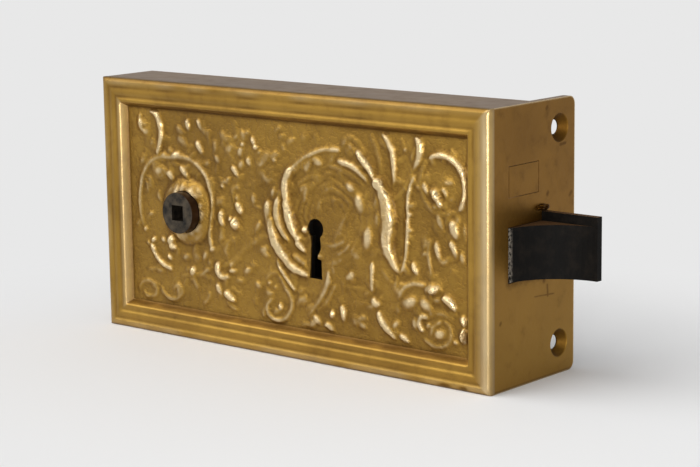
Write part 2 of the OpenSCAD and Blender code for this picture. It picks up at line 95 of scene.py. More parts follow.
# Small marks of wear on the forend: start (y, z), end, half width in millimetres, and strength
FOREND_MARKS = [
    ((27.5, 53.2), (27.8, 53.6), 0.6, 1.0),
    ((33.8, 66.6), (36.4, 66.8), 0.4, 1.0),
    ((26.0, 28.6), (26.4, 29.6), 0.7, 1.0),
    ((27.6, 27.0), (27.9, 24.0), 0.4, 0.9),
    ((21.5, 24.6), (31.0, 24.0), 0.2, 0.8),
    ((38.6, 51.5), (39.6, 52.3), 0.5, 0.8),
    ((5.0, 19.5), (5.3, 19.9), 0.4, 0.9),
    ((27.0, 77.5), (27.3, 77.9), 0.5, 0.9),
]
# Chips on the front's bottom edge: place along it and half length
CHIPS = [(136.5, 1.6), (143.0, 1.1)]
# Seeds of the random patterns
SEED_GRAIN, SEED_SMALL_LEAVES, SEED_FEATHERS, SEED_STROKES = (3, 5, 9), 41, (31, 32), (51, 52)
SEED_COLLAR, SEED_SHAKE, SEED_STROKE_SHAKE, SEED_DIRT = (61, 62), (81, 83), 85, 71
SEED_MOULDING, SEED_PATCHES, SEED_SLOPE = (21, 22), 23, 24


def linear(code):
    """An sRGB hex colour such as 'B08C48' to linear red, green, blue and alpha."""
    srgb = np.array([int(code[i : i + 2], 16) for i in (0, 2, 4)]) / 255
    values = np.where(srgb <= 0.04045, srgb / 12.92, ((srgb + 0.055) / 1.055) ** 2.4)
    return (*[float(v) for v in values], 1.0)


# ------------------------------------------------------------------ settings


def size_property(name, description, default):
    """A length in millimetres that a user can change."""
    return FloatProperty(name=name, description=description, default=default, min=0, unit="NONE")


def colour_property(name, description, code):
    """A colour that a user can change, given as an sRGB hex code."""
    return FloatVectorProperty(
        name=name, description=description, subtype="COLOR", size=4, min=0, max=1,
        default=linear(code),
    )


class LockSizes(bpy.types.PropertyGroup):
    """Sizes of the front, in millimetres."""

    cell: size_property("Relief cell", "Spacing of the relief's grid", 0.31)
    ground: size_property("Ground depth", "Depth of the relief's ground below the moulding", 2.4)
    relief_foot: size_property("Relief foot", "Depth at which the relief skin ends", 2.9)
    relief_gain: size_property("Relief height", "Height of the ornament, as a factor", 1.0)
    edge_radius: size_property("Edge radius", "Radius of the front's outer edges", 1.0)
    foot: size_property("Moulding foot", "Distance of the moulding's foot from the edge", 9.35)
    panel: size_property("Panel depth", "Depth of the sunk panel", 2.5)


class LockColours(bpy.types.PropertyGroup):
    """Colours of the finishes."""

    brass: colour_property("Brass", "Cast brass under old gilt lacquer", "A68137")
    # also used for painted highlights on the moulding's left bead and right-hand rim
    rubbed: colour_property("Rubbed brass", "High points rubbed bright", "F5E0B4")
    # dark brown of real tarnish in the hollows, also used for painted shade
    patina_and_shade: colour_property("Patina", "Dark patina in the hollows", "5C3D12")
    # darker than the front's brass: partly tarnish, partly painted shade on the forend and the
    # sides
    tarnish: colour_property("Tarnish", "Duller brass of the forend and the sides", "825D24")
    floor: colour_property("Floor", "Plain pale floor", "EBEBEB")


def sizes():
    """The sizes set in the scene."""
    return bpy.context.scene.lock_sizes


def colours():
    """The colours set in the scene."""
    return bpy.context.scene.lock_colours


# ------------------------------------------------------------------ mesh helpers


def new_piece(name, points, faces, body, smooth_angle=50):
    """A mesh object from points (n, 3) in metres and faces, riding on a body."""
    mesh = bpy.data.meshes.new(name)
    mesh.from_pydata(points.tolist(), [], [tuple(f) for f in faces])
    mesh.validate()
    mesh.update()
    mesh.shade_smooth()
    mesh.set_sharp_from_angle(angle=math.radians(smooth_angle))
    piece = bpy.data.objects.new(name, mesh)
    bpy.context.scene.collection.objects.link(piece)
    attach(piece, body)
    return piece


def point_values(piece, name, values):
    """Writes one number for each vertex, for a material to read."""
    layer = piece.data.attributes.new(name, "FLOAT", "POINT")
    layer.data.foreach_set("value", np.asarray(values, np.float32))


def ring_faces(stations, across):
    """Quads over points in rows, one for each station, that close on themselves both ways."""
    index = np.arange(stations * across).reshape(stations, across)
    after, beside = np.roll(index, -1, axis=0), np.roll(index, -1, axis=1)
    both = np.roll(after, -1, axis=1)
    return np.stack([index, after, both, beside], axis=-1).reshape(-1, 4)


def smooth_path(points, per_span=8):
    """Catmull-Rom curve: each span is the cubic whose ends lean along their neighbours' chord."""
    p = np.array([points[0], *points, points[-1]], float)
    t = np.linspace(0, 1, per_span, endpoint=False)[:, None]
    spans = [
        0.5 * (2 * b + (c - a) * t + (2 * a - 5 * b + 4 * c - d) * t**2
               + (3 * b - a - 3 * c + d) * t**3)
        for a, b, c, d in zip(p, p[1:], p[2:], p[3:])
    ]
    return np.concatenate([*spans, p[-1:]])


def cloud(x, z, grain, seed):
    """Value noise from -1 to 1: random numbers on a lattice of the grain's size, eased between."""
    rng = np.random.default_rng(seed)
    u, v = (x - x.min()) / grain, (z - z.min()) / grain
    i, j = np.floor(u).astype(int), np.floor(v).astype(int)
    lattice = rng.uniform(-1, 1, (i.max() + 2, j.max() + 2))
    u, v = u - i, v - j
    u, v = u * u * (3 - 2 * u), v * v * (3 - 2 * v)
    low = lattice[i, j] * (1 - u) + lattice[i + 1, j] * u
    high = lattice[i, j + 1] * (1 - u) + lattice[i + 1, j + 1] * u
    return low * (1 - v) + high * v


def blurred(height, spread):
    """Gaussian blur of a height field, spread in cells, with its edges carried outwards."""
    pad = int(4 * spread) + 2
    wide = np.pad(height, pad, mode="edge")
    fu = np.fft.fftfreq(wide.shape[0])[:, None]
    fv = np.fft.rfftfreq(wide.shape[1])[None, :]
    kernel = np.exp(-2 * (np.pi * spread) ** 2 * (fu**2 + fv**2))
    out = np.fft.irfft2(np.fft.rfft2(wide) * kernel, s=wide.shape)
    return out[pad:-pad, pad:-pad]


# ------------------------------------------------------------------ relief ornament
# Each stroke is (points in lock x and z, half width, height), all in millimetres.

# Round stems and scrolls of even width
STEMS = [
    # scroll in the upper left corner
    ([(19, 70.6), (21.7, 69.6), (23.6, 67), (24.2, 63.5), (23.5, 60), (22.3, 57)], 1.0, 1.1),
    ([(14, 70), (17, 71.4), (22, 71.6), (26, 70.8)], 0.6, 0.4),
    ([(15, 69), (14.6, 66), (15.8, 64.2), (18, 63.2)], 0.9, 0.7),
    # ring of the scroll round the hub
    ([(38, 55.6), (41, 53.6), (43.4, 50.6), (45, 46.8), (45.4, 42.5), (44.6, 37.6),
      (44, 33), (44.6, 29.6)], 0.9, 0.9),
    ([(38, 55.6), (34, 56.6), (28.5, 56.2), (23, 56), (18.4, 53.6), (15.4, 49.5),
      (14, 44), (13.8, 38.5), (14.8, 33.5)], 0.9, 0.75),
    ([(18.2, 28.2), (19.6, 25.4), (22.6, 22.4), (27, 20.6)], 0.8, 1.0),
    ([(22.6, 22.4), (20, 20), (16, 19.4)], 0.6, 0.5),
    # small scrolls at the lower left
    ([(11.8, 12.4), (13.6, 15), (17.2, 15.6), (20, 13.6), (19, 11.2), (15.6, 10.8),
      (13.8, 12.4)], 0.7, 0.6),
    ([(22, 14.4), (23.6, 12), (26.6, 11), (29.8, 11.8), (31.4, 14), (30, 16),
      (27.8, 15)], 0.7, 0.65),
    ([(36.6, 20), (37.2, 17.6), (38.4, 15.8)], 0.8, 0.6),
    ([(31, 18.6), (35, 19.8), (40, 20.4), (45, 19.4)], 0.7, 0.45),
    # faint stems in the middle
    ([(49, 24), (55, 27.4), (60, 31.4), (65, 34.6), (70, 36)], 0.8, 0.4),
    ([(46, 28), (50, 31), (56, 34)], 0.7, 0.35),
    ([(59, 50), (64, 51), (68, 53), (72, 57)], 0.6, 0.35),
    # C-shaped rim of the wing
    ([(97, 64), (92, 63.8), (87, 62.4), (82, 59.8), (78.4, 56.8), (76.2, 53.4)], 0.75, 0.75),
    ([(94, 55.4), (88, 55.6), (84, 54.6), (80.2, 52.2)], 0.6, 0.5),
    # spiral at the foot of the wing
    ([(72, 29), (73, 26.6), (75.4, 24), (79, 20.4)], 0.65, 1.0),
    ([(72.5, 24), (75.4, 20.4), (77.4, 17), (76.8, 13.6), (74.4, 11), (71, 10.2),
      (68, 11.6), (67.4, 14.4), (69.4, 16.6)], 0.75, 0.75),
    # hind leg and tail under the keyhole
    ([(92.6, 28), (92, 24), (89.6, 20), (87, 16.6), (84, 13.4)], 0.9, 0.7),
    ([(95, 24), (91.4, 18.4), (87.6, 15)], 0.6, 0.5),
    # thin branch beside the neck
    ([(124.6, 59), (123, 55.4), (122.1, 51), (122.2, 47.4), (122, 43), (121.6, 38.4),
      (120.8, 33.6), (119.6, 30.6)], 0.6, 1.0),
    ([(116, 51), (119.4, 53.4), (122.6, 57.4), (124, 61)], 0.55, 0.45),
    # scroll in the upper right corner
    ([(130, 64.6), (134, 65.6), (138, 64.6), (141.2, 62), (142.9, 58), (142.5, 54),
      (140.6, 50.8)], 0.95, 1.2),
    ([(130, 64.6), (127.6, 61.4), (126.8, 57), (128.4, 52), (132, 49.2), (136.6, 49.2),
      (140.6, 50.8)], 0.8, 0.55),
    # serrated stem
    ([(129.9, 41.4), (129.4, 38), (129.6, 34.6), (130.6, 31)], 0.6, 0.7),
    # crest of the head, and the dark line of the jaw below it
    ([(118.6, 23), (120.4, 26), (124, 28), (128.4, 28)], 0.8, 0.7),
    ([(130, 20), (134, 20.6), (138, 19.6)], 0.9, 0.5),
    # scroll under the head
    ([(127.4, 14.6), (126.2, 16.6), (127, 18.8), (129.4, 19)], 0.8, 1.0),
    ([(127.4, 12.6), (131, 10.8), (135, 11.4), (137.4, 14), (136.6, 17.4),
      (134.8, 18.6)], 0.7, 0.6),
    # stem and knot left of the head
    ([(109.2, 32.6), (109, 28.6), (108.7, 24)], 0.65, 0.9),
    ([(112, 31), (115, 28), (118.6, 25.6)], 0.6, 0.35),
    ([(100.5, 24), (105.6, 24)], 0.5, 0.35),
    ([(100.5, 19.4), (105.6, 20.2)], 0.5, 0.35),
]

# Leaves and feathers: full at one end or in the middle, pointed at the other
LEAVES = [
    # sprigs above the hub
    ([(35.0, 68.8), (35.8, 66.8), (36.1, 65)], 0.75, 1.1),
    ([(39.4, 69.2), (40.6, 67.6), (41.8, 65.4)], 0.7, 1.0),
    ([(30.4, 66.2), (32.6, 64.6), (34.6, 64)], 0.9, 0.7),
    ([(31, 63), (33.4, 61.6), (35.6, 59.8)], 1.2, 0.8),
    ([(39, 62.4), (40.4, 60.6), (41.8, 58.2)], 0.9, 1.1),
    ([(26.6, 59.2), (27.6, 58.4), (29, 58)], 0.8, 0.8),
    ([(28, 55), (30, 54.2), (31.6, 54.2)], 0.7, 0.7),
    ([(31.6, 53.9), (33.6, 52.2), (36, 49.6)], 1.0, 1.1),
    ([(26.4, 51.8), (28, 50.4), (28.8, 48.6)], 1.1, 1.1),
    ([(20.2, 50.6), (23, 49.8), (26, 50.4)], 0.9, 0.6),
    ([(19.8, 52.6), (22, 53.4), (24, 52.4)], 1.3, 0.8),
    # leaf down the middle column
    ([(49, 66), (52, 64), (55, 63.6)], 1.1, 0.6),
    ([(51.4, 60), (54, 61.6), (56.6, 61)], 0.9, 0.6),
    ([(53.4, 55.4), (55.2, 54.4), (56.9, 52.4)], 0.9, 1.1),
    ([(55, 49.8), (56, 49.4), (56.8, 48.8)], 0.8, 0.8),
    ([(55, 46.8), (55.6, 46.2), (56.4, 45.4)], 0.8, 0.8),
    ([(55, 44.6), (56.6, 43.2), (57.8, 41)], 1.1, 1.2),
    ([(49.4, 41.4), (48.9, 39), (49.8, 36.6)], 1.0, 1.2),
    ([(60, 58.8), (61, 57.8), (61.6, 56.2)], 1.0, 0.9),
    ([(66, 57), (68.6, 59.6), (71.6, 60)], 1.6, 0.6),
    ([(66.6, 54.4), (68, 53.2), (69.8, 51.8)], 0.9, 0.7),
    ([(72, 67.2), (73, 68.6), (74.6, 68.6)], 0.7, 0.7),
    ([(76.6, 64.2), (78.2, 65.2), (80, 66.2)], 0.8, 0.7),
    ([(82, 66.8), (83.2, 66.6), (84.2, 66)], 0.7, 0.6),
    # bright blade left of the wing
    ([(68.6, 46.6), (68.9, 43), (69.2, 40), (68.4, 37.2)], 1.6, 1.2),
    ([(65.4, 39.8), (64.2, 38), (62.6, 36.4)], 0.9, 0.8),
    ([(63.6, 34), (62.6, 33), (61.4, 32.4)], 0.8, 0.7),
    # feathers of the wing, from the rim inwards and down round the keyhole
    ([(78.4, 57.6), (76.4, 53.4), (76.2, 49), (77.4, 44)], 1.3, 1.4),
    ([(75.4, 47.6), (75.7, 46), (76.1, 44.2)], 0.8, 1.3),
    ([(76.6, 47), (77.6, 42.6), (78.8, 39), (81, 35)], 1.5, 1.6),
    ([(79.4, 36.6), (80.6, 36.4), (81.6, 37)], 0.9, 1.5),
    ([(73.2, 48.6), (72.6, 43.6), (74, 39), (77, 34.6)], 1.2, 1.35),
    ([(79.4, 35.4), (81, 34.4), (83.2, 32.4)], 0.9, 1.4),
    ([(70.4, 42), (71, 37.2), (73.4, 32.4), (77, 28.8), (80.6, 26.8)], 1.8, 1.7),
    ([(74, 31), (78.4, 27.4), (84.4, 25.4)], 1.4, 1.5),
    ([(78.2, 31.4), (80.8, 29.8), (83.4, 28.4)], 0.9, 0.9),
    ([(81.4, 30.6), (82.4, 29), (83.6, 27.4)], 0.7, 0.7),
    ([(81.6, 50.2), (82.8, 51.8), (84.4, 52.8)], 0.7, 0.7),
    ([(85.2, 51.2), (86.6, 52.8), (88.4, 53.6)], 0.7, 0.6),
    ([(89.6, 51.8), (91.6, 53.6), (94.4, 54.2)], 0.7, 0.55),
    ([(83.8, 56.6), (85, 58.6), (86.2, 61)], 1.2, 0.7),
    ([(81.6, 57.4), (83, 58.6), (84, 60.2)], 0.9, 0.55),
    # neck, down from the shoulder
    ([(112, 56.4), (114.6, 51.4), (115.8, 46), (115.4, 41), (115.4, 37), (117, 33),
      (119.4, 30.0)], 2.1, 1.6),
    # feathers over the shoulder
    ([(100.4, 66.4), (101.6, 65.2), (103, 64.2)], 0.6, 0.7),
    ([(103.6, 64.6), (105.8, 62.4), (108.2, 60.2), (110.6, 56.4)], 1.05, 1.6),
    ([(96, 61), (100, 60.2), (104, 58.9), (108, 55.2)], 0.85, 1.2),
    ([(92, 59.4), (97, 58.4), (102, 57), (106.6, 54)], 0.7, 0.7),
    ([(98, 67.6), (101, 68), (104, 66.6), (107, 63.6)], 0.7, 0.55),
    ([(112.4, 70.6), (114.8, 68.4), (116.7, 65.4), (117.2, 61), (117.3, 57.6),
      (116.4, 55)], 0.85, 1.2),
    ([(108.4, 69.6), (110.6, 66), (112, 62), (112.4, 58)], 0.8, 0.55),
    ([(124.9, 70.6), (126.6, 67.8), (126.7, 64.6), (125.4, 62.2), (123.8, 60.2)], 1.1, 1.3),
    ([(123.4, 63.2), (124.2, 65.4), (124.9, 68)], 0.6, 0.7),
    ([(119.4, 69.4), (120.6, 67.6), (121.6, 65.8)], 0.6, 0.5),
    # petals and hanging bells of the right-hand scroll
    ([(127.6, 57.6), (128.6, 56), (129.3, 54)], 0.9, 1.1),
    ([(128.8, 60.4), (129.4, 59), (130.2, 57.2)], 0.6, 0.6),
    ([(134.2, 56.4), (135.6, 55.2), (136, 53.4)], 0.7, 0.9),
    ([(134.2, 51.8), (135.2, 51.2), (136.2, 51)], 0.6, 0.7),
    ([(132.6, 49), (133.8, 46.6), (135, 44)], 0.9, 0.9),
    ([(131.4, 47.4), (132.6, 44.6), (134.6, 43)], 1.1, 0.5),
    ([(132.2, 41.2), (132.6, 38.4), (133.8, 35)], 0.9, 1.0),
    ([(137.9, 47.8), (138.8, 45.4), (139.6, 42.6)], 1.4, 1.2),
    ([(136.8, 41.6), (138.4, 39.8), (139.2, 36.8)], 0.9, 1.1),
    ([(142.2, 47), (143, 44.6), (142.6, 41.4)], 0.8, 0.8),
    ([(141.2, 39), (141.4, 37.4), (141.7, 35.4)], 0.7, 0.8),
    ([(123.9, 34.4), (124.4, 32.6), (125.8, 30.8)], 0.9, 1.2),
    ([(126.8, 36.4), (128.2, 37.2), (129.6, 37)], 0.5, 0.8),
    ([(127.2, 39.2), (128.4, 39.8), (129.6, 39.2)], 0.5, 0.7),
    # beak and brow of the head
    ([(134.4, 25.4), (136.6, 24.6), (138.2, 23.4), (139.2, 21.8)], 1.1, 1.5),
    ([(128.6, 26), (130.4, 27.9), (132.8, 28.2), (134.4, 27)], 1.0, 1.0),
    # serrated leaf at the foot
    ([(111, 18.6), (112.2, 16), (114, 14), (117.6, 10.8)], 1.15, 1.3),
    ([(118.6, 12.6), (120.4, 11.6), (122.4, 10.6)], 0.8, 1.0),
    ([(109, 22.2), (109.8, 20.6), (110.8, 19.4)], 0.9, 1.1),
    ([(107, 20.6), (104, 19), (101.6, 18.6)], 0.7, 0.45),
    # acanthus at the lower middle
    ([(47.4, 25.4), (47.3, 23), (48.4, 21.2), (50.4, 20.4)], 1.05, 1.4),
    ([(49.6, 20.4), (50.8, 21), (52.2, 20.9)], 0.7, 0.9),
    ([(51.6, 23.4), (53.4, 23.2), (55.2, 23.6)], 0.6, 1.0),
    ([(52.4, 24.6), (53.2, 25.4), (54.2, 25.4)], 0.6, 0.9),
    ([(46.2, 18.6), (47.4, 17.2), (48.8, 15)], 0.9, 1.1),
    ([(49.8, 16.2), (51.6, 15.4), (54, 13.8)], 1.1, 1.4),
    ([(50.4, 13.2), (52.4, 12.2), (54.8, 10.8)], 0.8, 0.7),
    # claws and scraps under the keyhole
    ([(84.8, 10.6), (86.6, 11.8), (88, 13.8)], 1.0, 0.9),
    ([(86, 14), (87.4, 12.8), (89, 11.2)], 0.9, 1.0),
    ([(90, 11), (91.6, 11.4), (94, 10)], 0.8, 1.0),
    ([(81, 9.8), (83.6, 10.6), (86, 9.8)], 0.8, 0.6),
    ([(83, 14.8), (85.6, 16.4), (88.6, 15.8)], 0.7, 0.7),
    ([(96.8, 18.4), (97.8, 16.2), (97.6, 13.2)], 1.0, 1.2),
    # belly lines of the beast
    ([(91, 29.4), (97, 31.6), (104, 35), (108, 36)], 0.9, 0.35),
    ([(94.6, 36.6), (97, 41), (99.6, 45.4), (100.6, 49)], 0.8, 0.4),
]

# Round bosses and buds: (x, z, half length, half width, turn in degrees, height)
BUDS = [
    (15.2, 66.4, 1.7, 1.0, 100, 1.0), (30.2, 57.3, 1.9, 1.1, 15, 1.3),
    (24.8, 57, 1.5, 0.9, 10, 0.8), (22.4, 51.8, 2.2, 1.3, 20, 0.8), (49.6, 49.3, 0.9, 0.8, 0, 0.9),
    (52.1, 51.6, 1.0, 0.6, 20, 0.8), (52.6, 39.4, 1.1, 0.9, 0, 1.2),
    (54.7, 38.2, 1.9, 1.5, 110, 1.7), (15.6, 32.5, 1.2, 0.8, 20, 0.9),
    (19.2, 29.4, 1.1, 0.9, 40, 1.2), (16.6, 28.2, 1.1, 0.7, 150, 0.8),
    (19, 26.8, 1.2, 0.9, 120, 1.1), (27.4, 30.4, 1.8, 1.5, 60, 1.5), (28, 28.2, 1.5, 1.2, 0, 1.4),
    (23.6, 29.9, 1.3, 0.8, 160, 0.9), (26.2, 24.6, 1.2, 0.8, 150, 1.0),
    (36.2, 21.4, 1.4, 1.1, 60, 1.4), (27.8, 15, 0.9, 0.6, 20, 0.6), (18.6, 14.2, 1.0, 0.8, 0, 0.6),
    (44.8, 29.2, 1.2, 0.9, 20, 1.1), (43.7, 32.6, 1.3, 0.7, 90, 0.8),
    (43.6, 24.6, 1.0, 0.7, 130, 0.7), (40.6, 20.6, 1.4, 0.7, 20, 0.5),
    (62.8, 64.2, 1.5, 0.7, 120, 1.1), (63.8, 62.3, 1.1, 0.7, 0, 1.1),
    (58.6, 62.8, 0.9, 0.7, 0, 0.9), (55.8, 64.9, 1.4, 0.8, 30, 0.7),
    (60.6, 66.4, 1.2, 0.8, 0, 0.6), (57.4, 59.6, 1.1, 0.7, 0, 0.6), (53.2, 60.6, 1.0, 0.7, 0, 0.6),
    (65.4, 60.8, 1.1, 0.8, 40, 0.6), (50.6, 62.4, 1.0, 0.8, 0, 0.5),
    (71.3, 59.3, 0.9, 0.7, 0, 0.8), (68.2, 21.5, 0.9, 0.6, 10, 0.9),
    (70.7, 20.4, 0.8, 0.5, 10, 0.7), (72.6, 14.8, 1.2, 0.8, 110, 1.1),
    (82.9, 39.4, 1.2, 1.0, 0, 1.3), (82.4, 29.2, 1.0, 0.8, 0, 0.8),
    (93.1, 15.1, 1.3, 0.8, 80, 1.2), (97.6, 15.3, 1.8, 0.9, 90, 1.2),
    (87.2, 13.2, 1.2, 0.9, 150, 1.0), (91.4, 19, 1.0, 0.7, 60, 0.6),
    (111.8, 55.6, 2.2, 1.6, 150, 1.8), (113.8, 53.2, 1.6, 1.2, 110, 1.7),
    (112.2, 45.8, 3.0, 1.7, 80, 0.9), (111.6, 50.4, 2.6, 1.9, 90, 0.8),
    (121.1, 66.2, 0.8, 0.7, 0, 0.9), (122.6, 47.9, 1.0, 0.8, 0, 1.0),
    (121.3, 46, 0.9, 0.6, 0, 0.8), (122.8, 43.5, 1.0, 0.6, 150, 0.9),
    (132.2, 54.2, 1.9, 1.3, 110, 1.5), (133.4, 52.2, 1.4, 1.0, 120, 1.3),
    (130.9, 55.2, 1.1, 0.9, 0, 1.0), (131.9, 51, 1.1, 0.7, 0, 0.9),
    (138.6, 45.2, 1.8, 1.2, 110, 0.9), (131.2, 27.1, 1.8, 1.1, 20, 1.7),
    (132.6, 24.4, 1.8, 1.0, 10, 0.7), (136, 24.6, 1.2, 0.8, 0, 1.0),
    (57.6, 56.6, 1.8, 1.1, 60, 0.8), (47.6, 57.4, 1.6, 1.0, 130, 0.7),
    (62.4, 46.6, 1.9, 1.0, 100, 0.7), (70.6, 49.4, 1.8, 1.0, 70, 0.8),
    (59.4, 24.2, 2.0, 1.1, 20, 0.7), (63.6, 20.2, 1.6, 0.9, 140, 0.7),
    (41.6, 26.8, 1.7, 1.0, 60, 0.8), (33.4, 25.4, 1.8, 1.1, 20, 0.7),
    (100.6, 27.6, 2.2, 1.2, 30, 0.7), (104.4, 49.4, 3.4, 1.9, 110, 0.9),
    (107.6, 39.4, 3.6, 1.8, 80, 0.9), (101, 53.6, 2.6, 1.3, 150, 0.8),
    (122.6, 22.4, 3.2, 2.0, 20, 0.9), (128.6, 22.6, 2.6, 1.8, 150, 0.9),
    (124.4, 16.6, 2.0, 1.3, 80, 0.8), (133.4, 14.6, 2.2, 1.6, 20, 0.8),
    (117.2, 15.4, 1.7, 1.1, 40, 0.8), (104.8, 13.4, 1.9, 1.1, 160, 0.7),
    (141.8, 19.4, 1.7, 1.2, 130, 1.3), (142, 15.2, 2.2, 1.4, 110, 1.8),
    (138.8, 13, 1.1, 0.8, 0, 0.9), (133.6, 11, 1.4, 0.7, 0, 0.7), (129.4, 16.8, 1.0, 0.8, 30, 0.8),
    (110.8, 20.6, 1.0, 0.8, 0, 0.8), (118, 19.4, 1.2, 0.9, 60, 0.5),
    (144.2, 71.2, 1.2, 0.9, 0, 0.5),
]

# Broad, low swellings under the strokes: (x, z, half length, half width, turn, height)
SWELLINGS = [
    (98, 38, 14, 8, 75, 0.6), (109.5, 45, 9, 4, 80, 0.9), (104, 33, 8, 4, 130, 0.5),
    (94, 27, 7, 4, 60, 0.45), (112, 34, 9, 4, 100, 0.45), (127, 24, 9, 4, 8, 0.6),
    (131, 16, 6, 5, 0, 0.45), (75, 40, 12, 4, 105, 0.45), (88, 60, 9, 3.5, 15, 0.35),
    (113, 15, 7, 3, 140, 0.35), (56, 61, 9, 4, 10, 0.3), (50, 18, 6, 4, 140, 0.35),
    (23, 52, 6, 3, 10, 0.3), (104, 61, 9, 3.5, 150, 0.35), (135, 57, 6, 5, 0, 0.25),
    (138, 44, 5, 4, 90, 0.3), (28, 28, 6, 5, 40, 0.3), (18, 66, 5, 5, 0, 0.2),
    (68, 57, 6, 4, 20, 0.25),
]

# Where there are few small leaves, beside the keyhole: (x, z, half length, half width, turn)
PLAIN_PATCH = (99, 38, 11, 13.5, 0)
# Old dirt on the relief: strength and oval, above the hub and round the keyhole
DIRT_PATCHES = [(0.3, (HUB_X - 7, HUB_Z + 6, 7, 7, 0)), (0.38, (KEY_X + 8, KEY_Z - 1, 14, 17, 0))]


def profile_along(share, start_power, end_power):
    """t^a (1-t)^b over its own largest value: a power of nought leaves that end blunt."""
    a, b = start_power, end_power
    top = (a / (a + b)) ** a * (b / (a + b)) ** b if a and b else 1.0
    share = np.clip(share, 1e-4, 1 - 1e-4)
    return share**a * (1 - share) ** b / top


def near_path(x, z, path):
    """Distance from every grid point to a path, the share of its length at the foot, and how
    far the point lies on the path's lower right side: 1 there, -1 on the upper left."""
    steps = np.linalg.norm(np.diff(path, axis=0), axis=1)
    begun = np.concatenate([[0], np.cumsum(steps)])
    nearest = np.full(x.shape, np.inf)
    share, lean = np.zeros(x.shape), np.zeros(x.shape)
    for start, end, length, before in zip(path, path[1:], steps, begun):
        way = (end - start) / max(length, 1e-9)
        along = np.clip((x - start[0]) * way[0] + (z - start[1]) * way[1], 0, length)
        off_x, off_z = x - start[0] - along * way[0], z - start[1] - along * way[1]
        gap = np.hypot(off_x, off_z)
        closer = gap < nearest
        lean = np.where(closer, (0.8 * off_x - 0.6 * off_z) / np.maximum(gap, 0.01), lean)
        nearest = np.where(closer, gap, nearest)
        share = np.where(closer, (before + along) / begun[-1], share)
    return nearest, share, lean


def raise_stroke(height, x, z, points, half_width, rise, powers, crease):
    """Raises a stroke: rise * (1 - (d/w)^2)^1.5 with w tapering along it, less a central crease.

    Its lower right flank is the steeper one, as on a shingle.
    """
    path = smooth_path(points)
    low, high = path.min(0) - 2.2 * half_width, path.max(0) + 2.2 * half_width
    i0, i1 = np.searchsorted(x[:, 0], (low[0], high[0]))
    j0, j1 = np.searchsorted(z[0], (low[1], high[1]))
    part = np.s_[i0:i1, j0:j1]
    gap, share, lean = near_path(x[part], z[part], path)
    shape = profile_along(share, *powers)
    q = gap / (1.45 * half_width * np.maximum(shape, 0.12) * (1 - 0.4 * lean))
    bump = rise * np.sqrt(shape) * np.maximum(1 - q * q, 0) ** 1.5
    bump = bump * (1 - crease * np.exp(-((q / 0.28) ** 2)))
    height[part] = np.maximum(height[part], bump)


def oval(x, z, centre_x, centre_z, half_length, half_width, turn):
    """Squared distance from the centre of a turned oval, 1 on its edge."""
    c, s = math.cos(math.radians(turn)), math.sin(math.radians(turn))
    along = (x - centre_x) * c + (z - centre_z) * s
    across = (z - centre_z) * c - (x - centre_x) * s
    return (along / half_length) ** 2 + (across / half_width) ** 2


def scattered_leaves(count):
    """Small low leaves between the main strokes: short arcs along a slow swirl of directions."""
    rng = np.random.default_rng(SEED_SMALL_LEAVES)
    centres = rng.uniform((12, 12), (CASE_LENGTH - 12, CASE_HEIGHT - 12), (count, 2))
    drawn = rng.uniform(size=(count, 4))
    leaves = []
    for (cx, cz), (length, turn, bend, rise) in zip(centres, drawn):
        heading = 1.9 * math.sin(cx / 8) + 1.6 * math.cos(cz / 6) + 0.8 * turn
        half = 1.1 + 1.5 * length
        way = np.array([math.cos(heading), math.sin(heading)])
        side = np.array([-way[1], way[0]]) * (bend - 0.5) * half
        middle = np.array([cx, cz])
        leaves.append(([middle - way * half, middle + side, middle + way * half],
                       0.5 + 0.4 * turn, 0.25 + 0.4 * rise))
    return leaves


def plumage(x, z):
    """Fine feather lines that curl round the keyhole: waves across a spiral, faded at its rim."""
    dx, dz = x - (KEY_X + 6.5), z - (KEY_Z + 4)
    r, turn = np.hypot(dx, dz * 1.05), np.arctan2(dz, dx)
    waves = np.sin(2 * math.pi * r / 2.3 + 2.2 * turn + 2.6 * cloud(x, z, 5, SEED_FEATHERS[0]))
    fade = np.clip((r - 3.5) / 3, 0, 1) * np.clip((17 - r) / 5, 0, 1)
    return 0.16 * (1 + waves) * fade * np.clip(0.4 + cloud(x, z, 3.4, SEED_FEATHERS[1]), 0, 1)


def shaken(height, x, z, reach, grain, seed):
    """The height read from a point up to reach mm away, which wanders along x and z in waves of
    about grain mm: it breaks the smooth outlines, as a hand-cut pattern does."""
    cell = sizes().cell
    lows, shares = [], []
    for axis, own in enumerate(np.indices(height.shape)):
        at = own + reach / cell * cloud(x, z, grain, seed + axis)
        at = np.clip(at, 0, height.shape[axis] - 1.001)
        lows.append(at.astype(int))
        shares.append(at - lows[-1])
    (i, j), (a, b) = lows, shares
    return ((1 - a) * ((1 - b) * height[i, j] + b * height[i, j + 1])
            + a * ((1 - b) * height[i + 1, j] + b * height[i + 1, j + 1]))


def firmness(rise):
    """Height of a stroke for its rise: the low ones stay low, so that the high ones stand out."""
    return rise * (0.58 + 0.3 * rise)


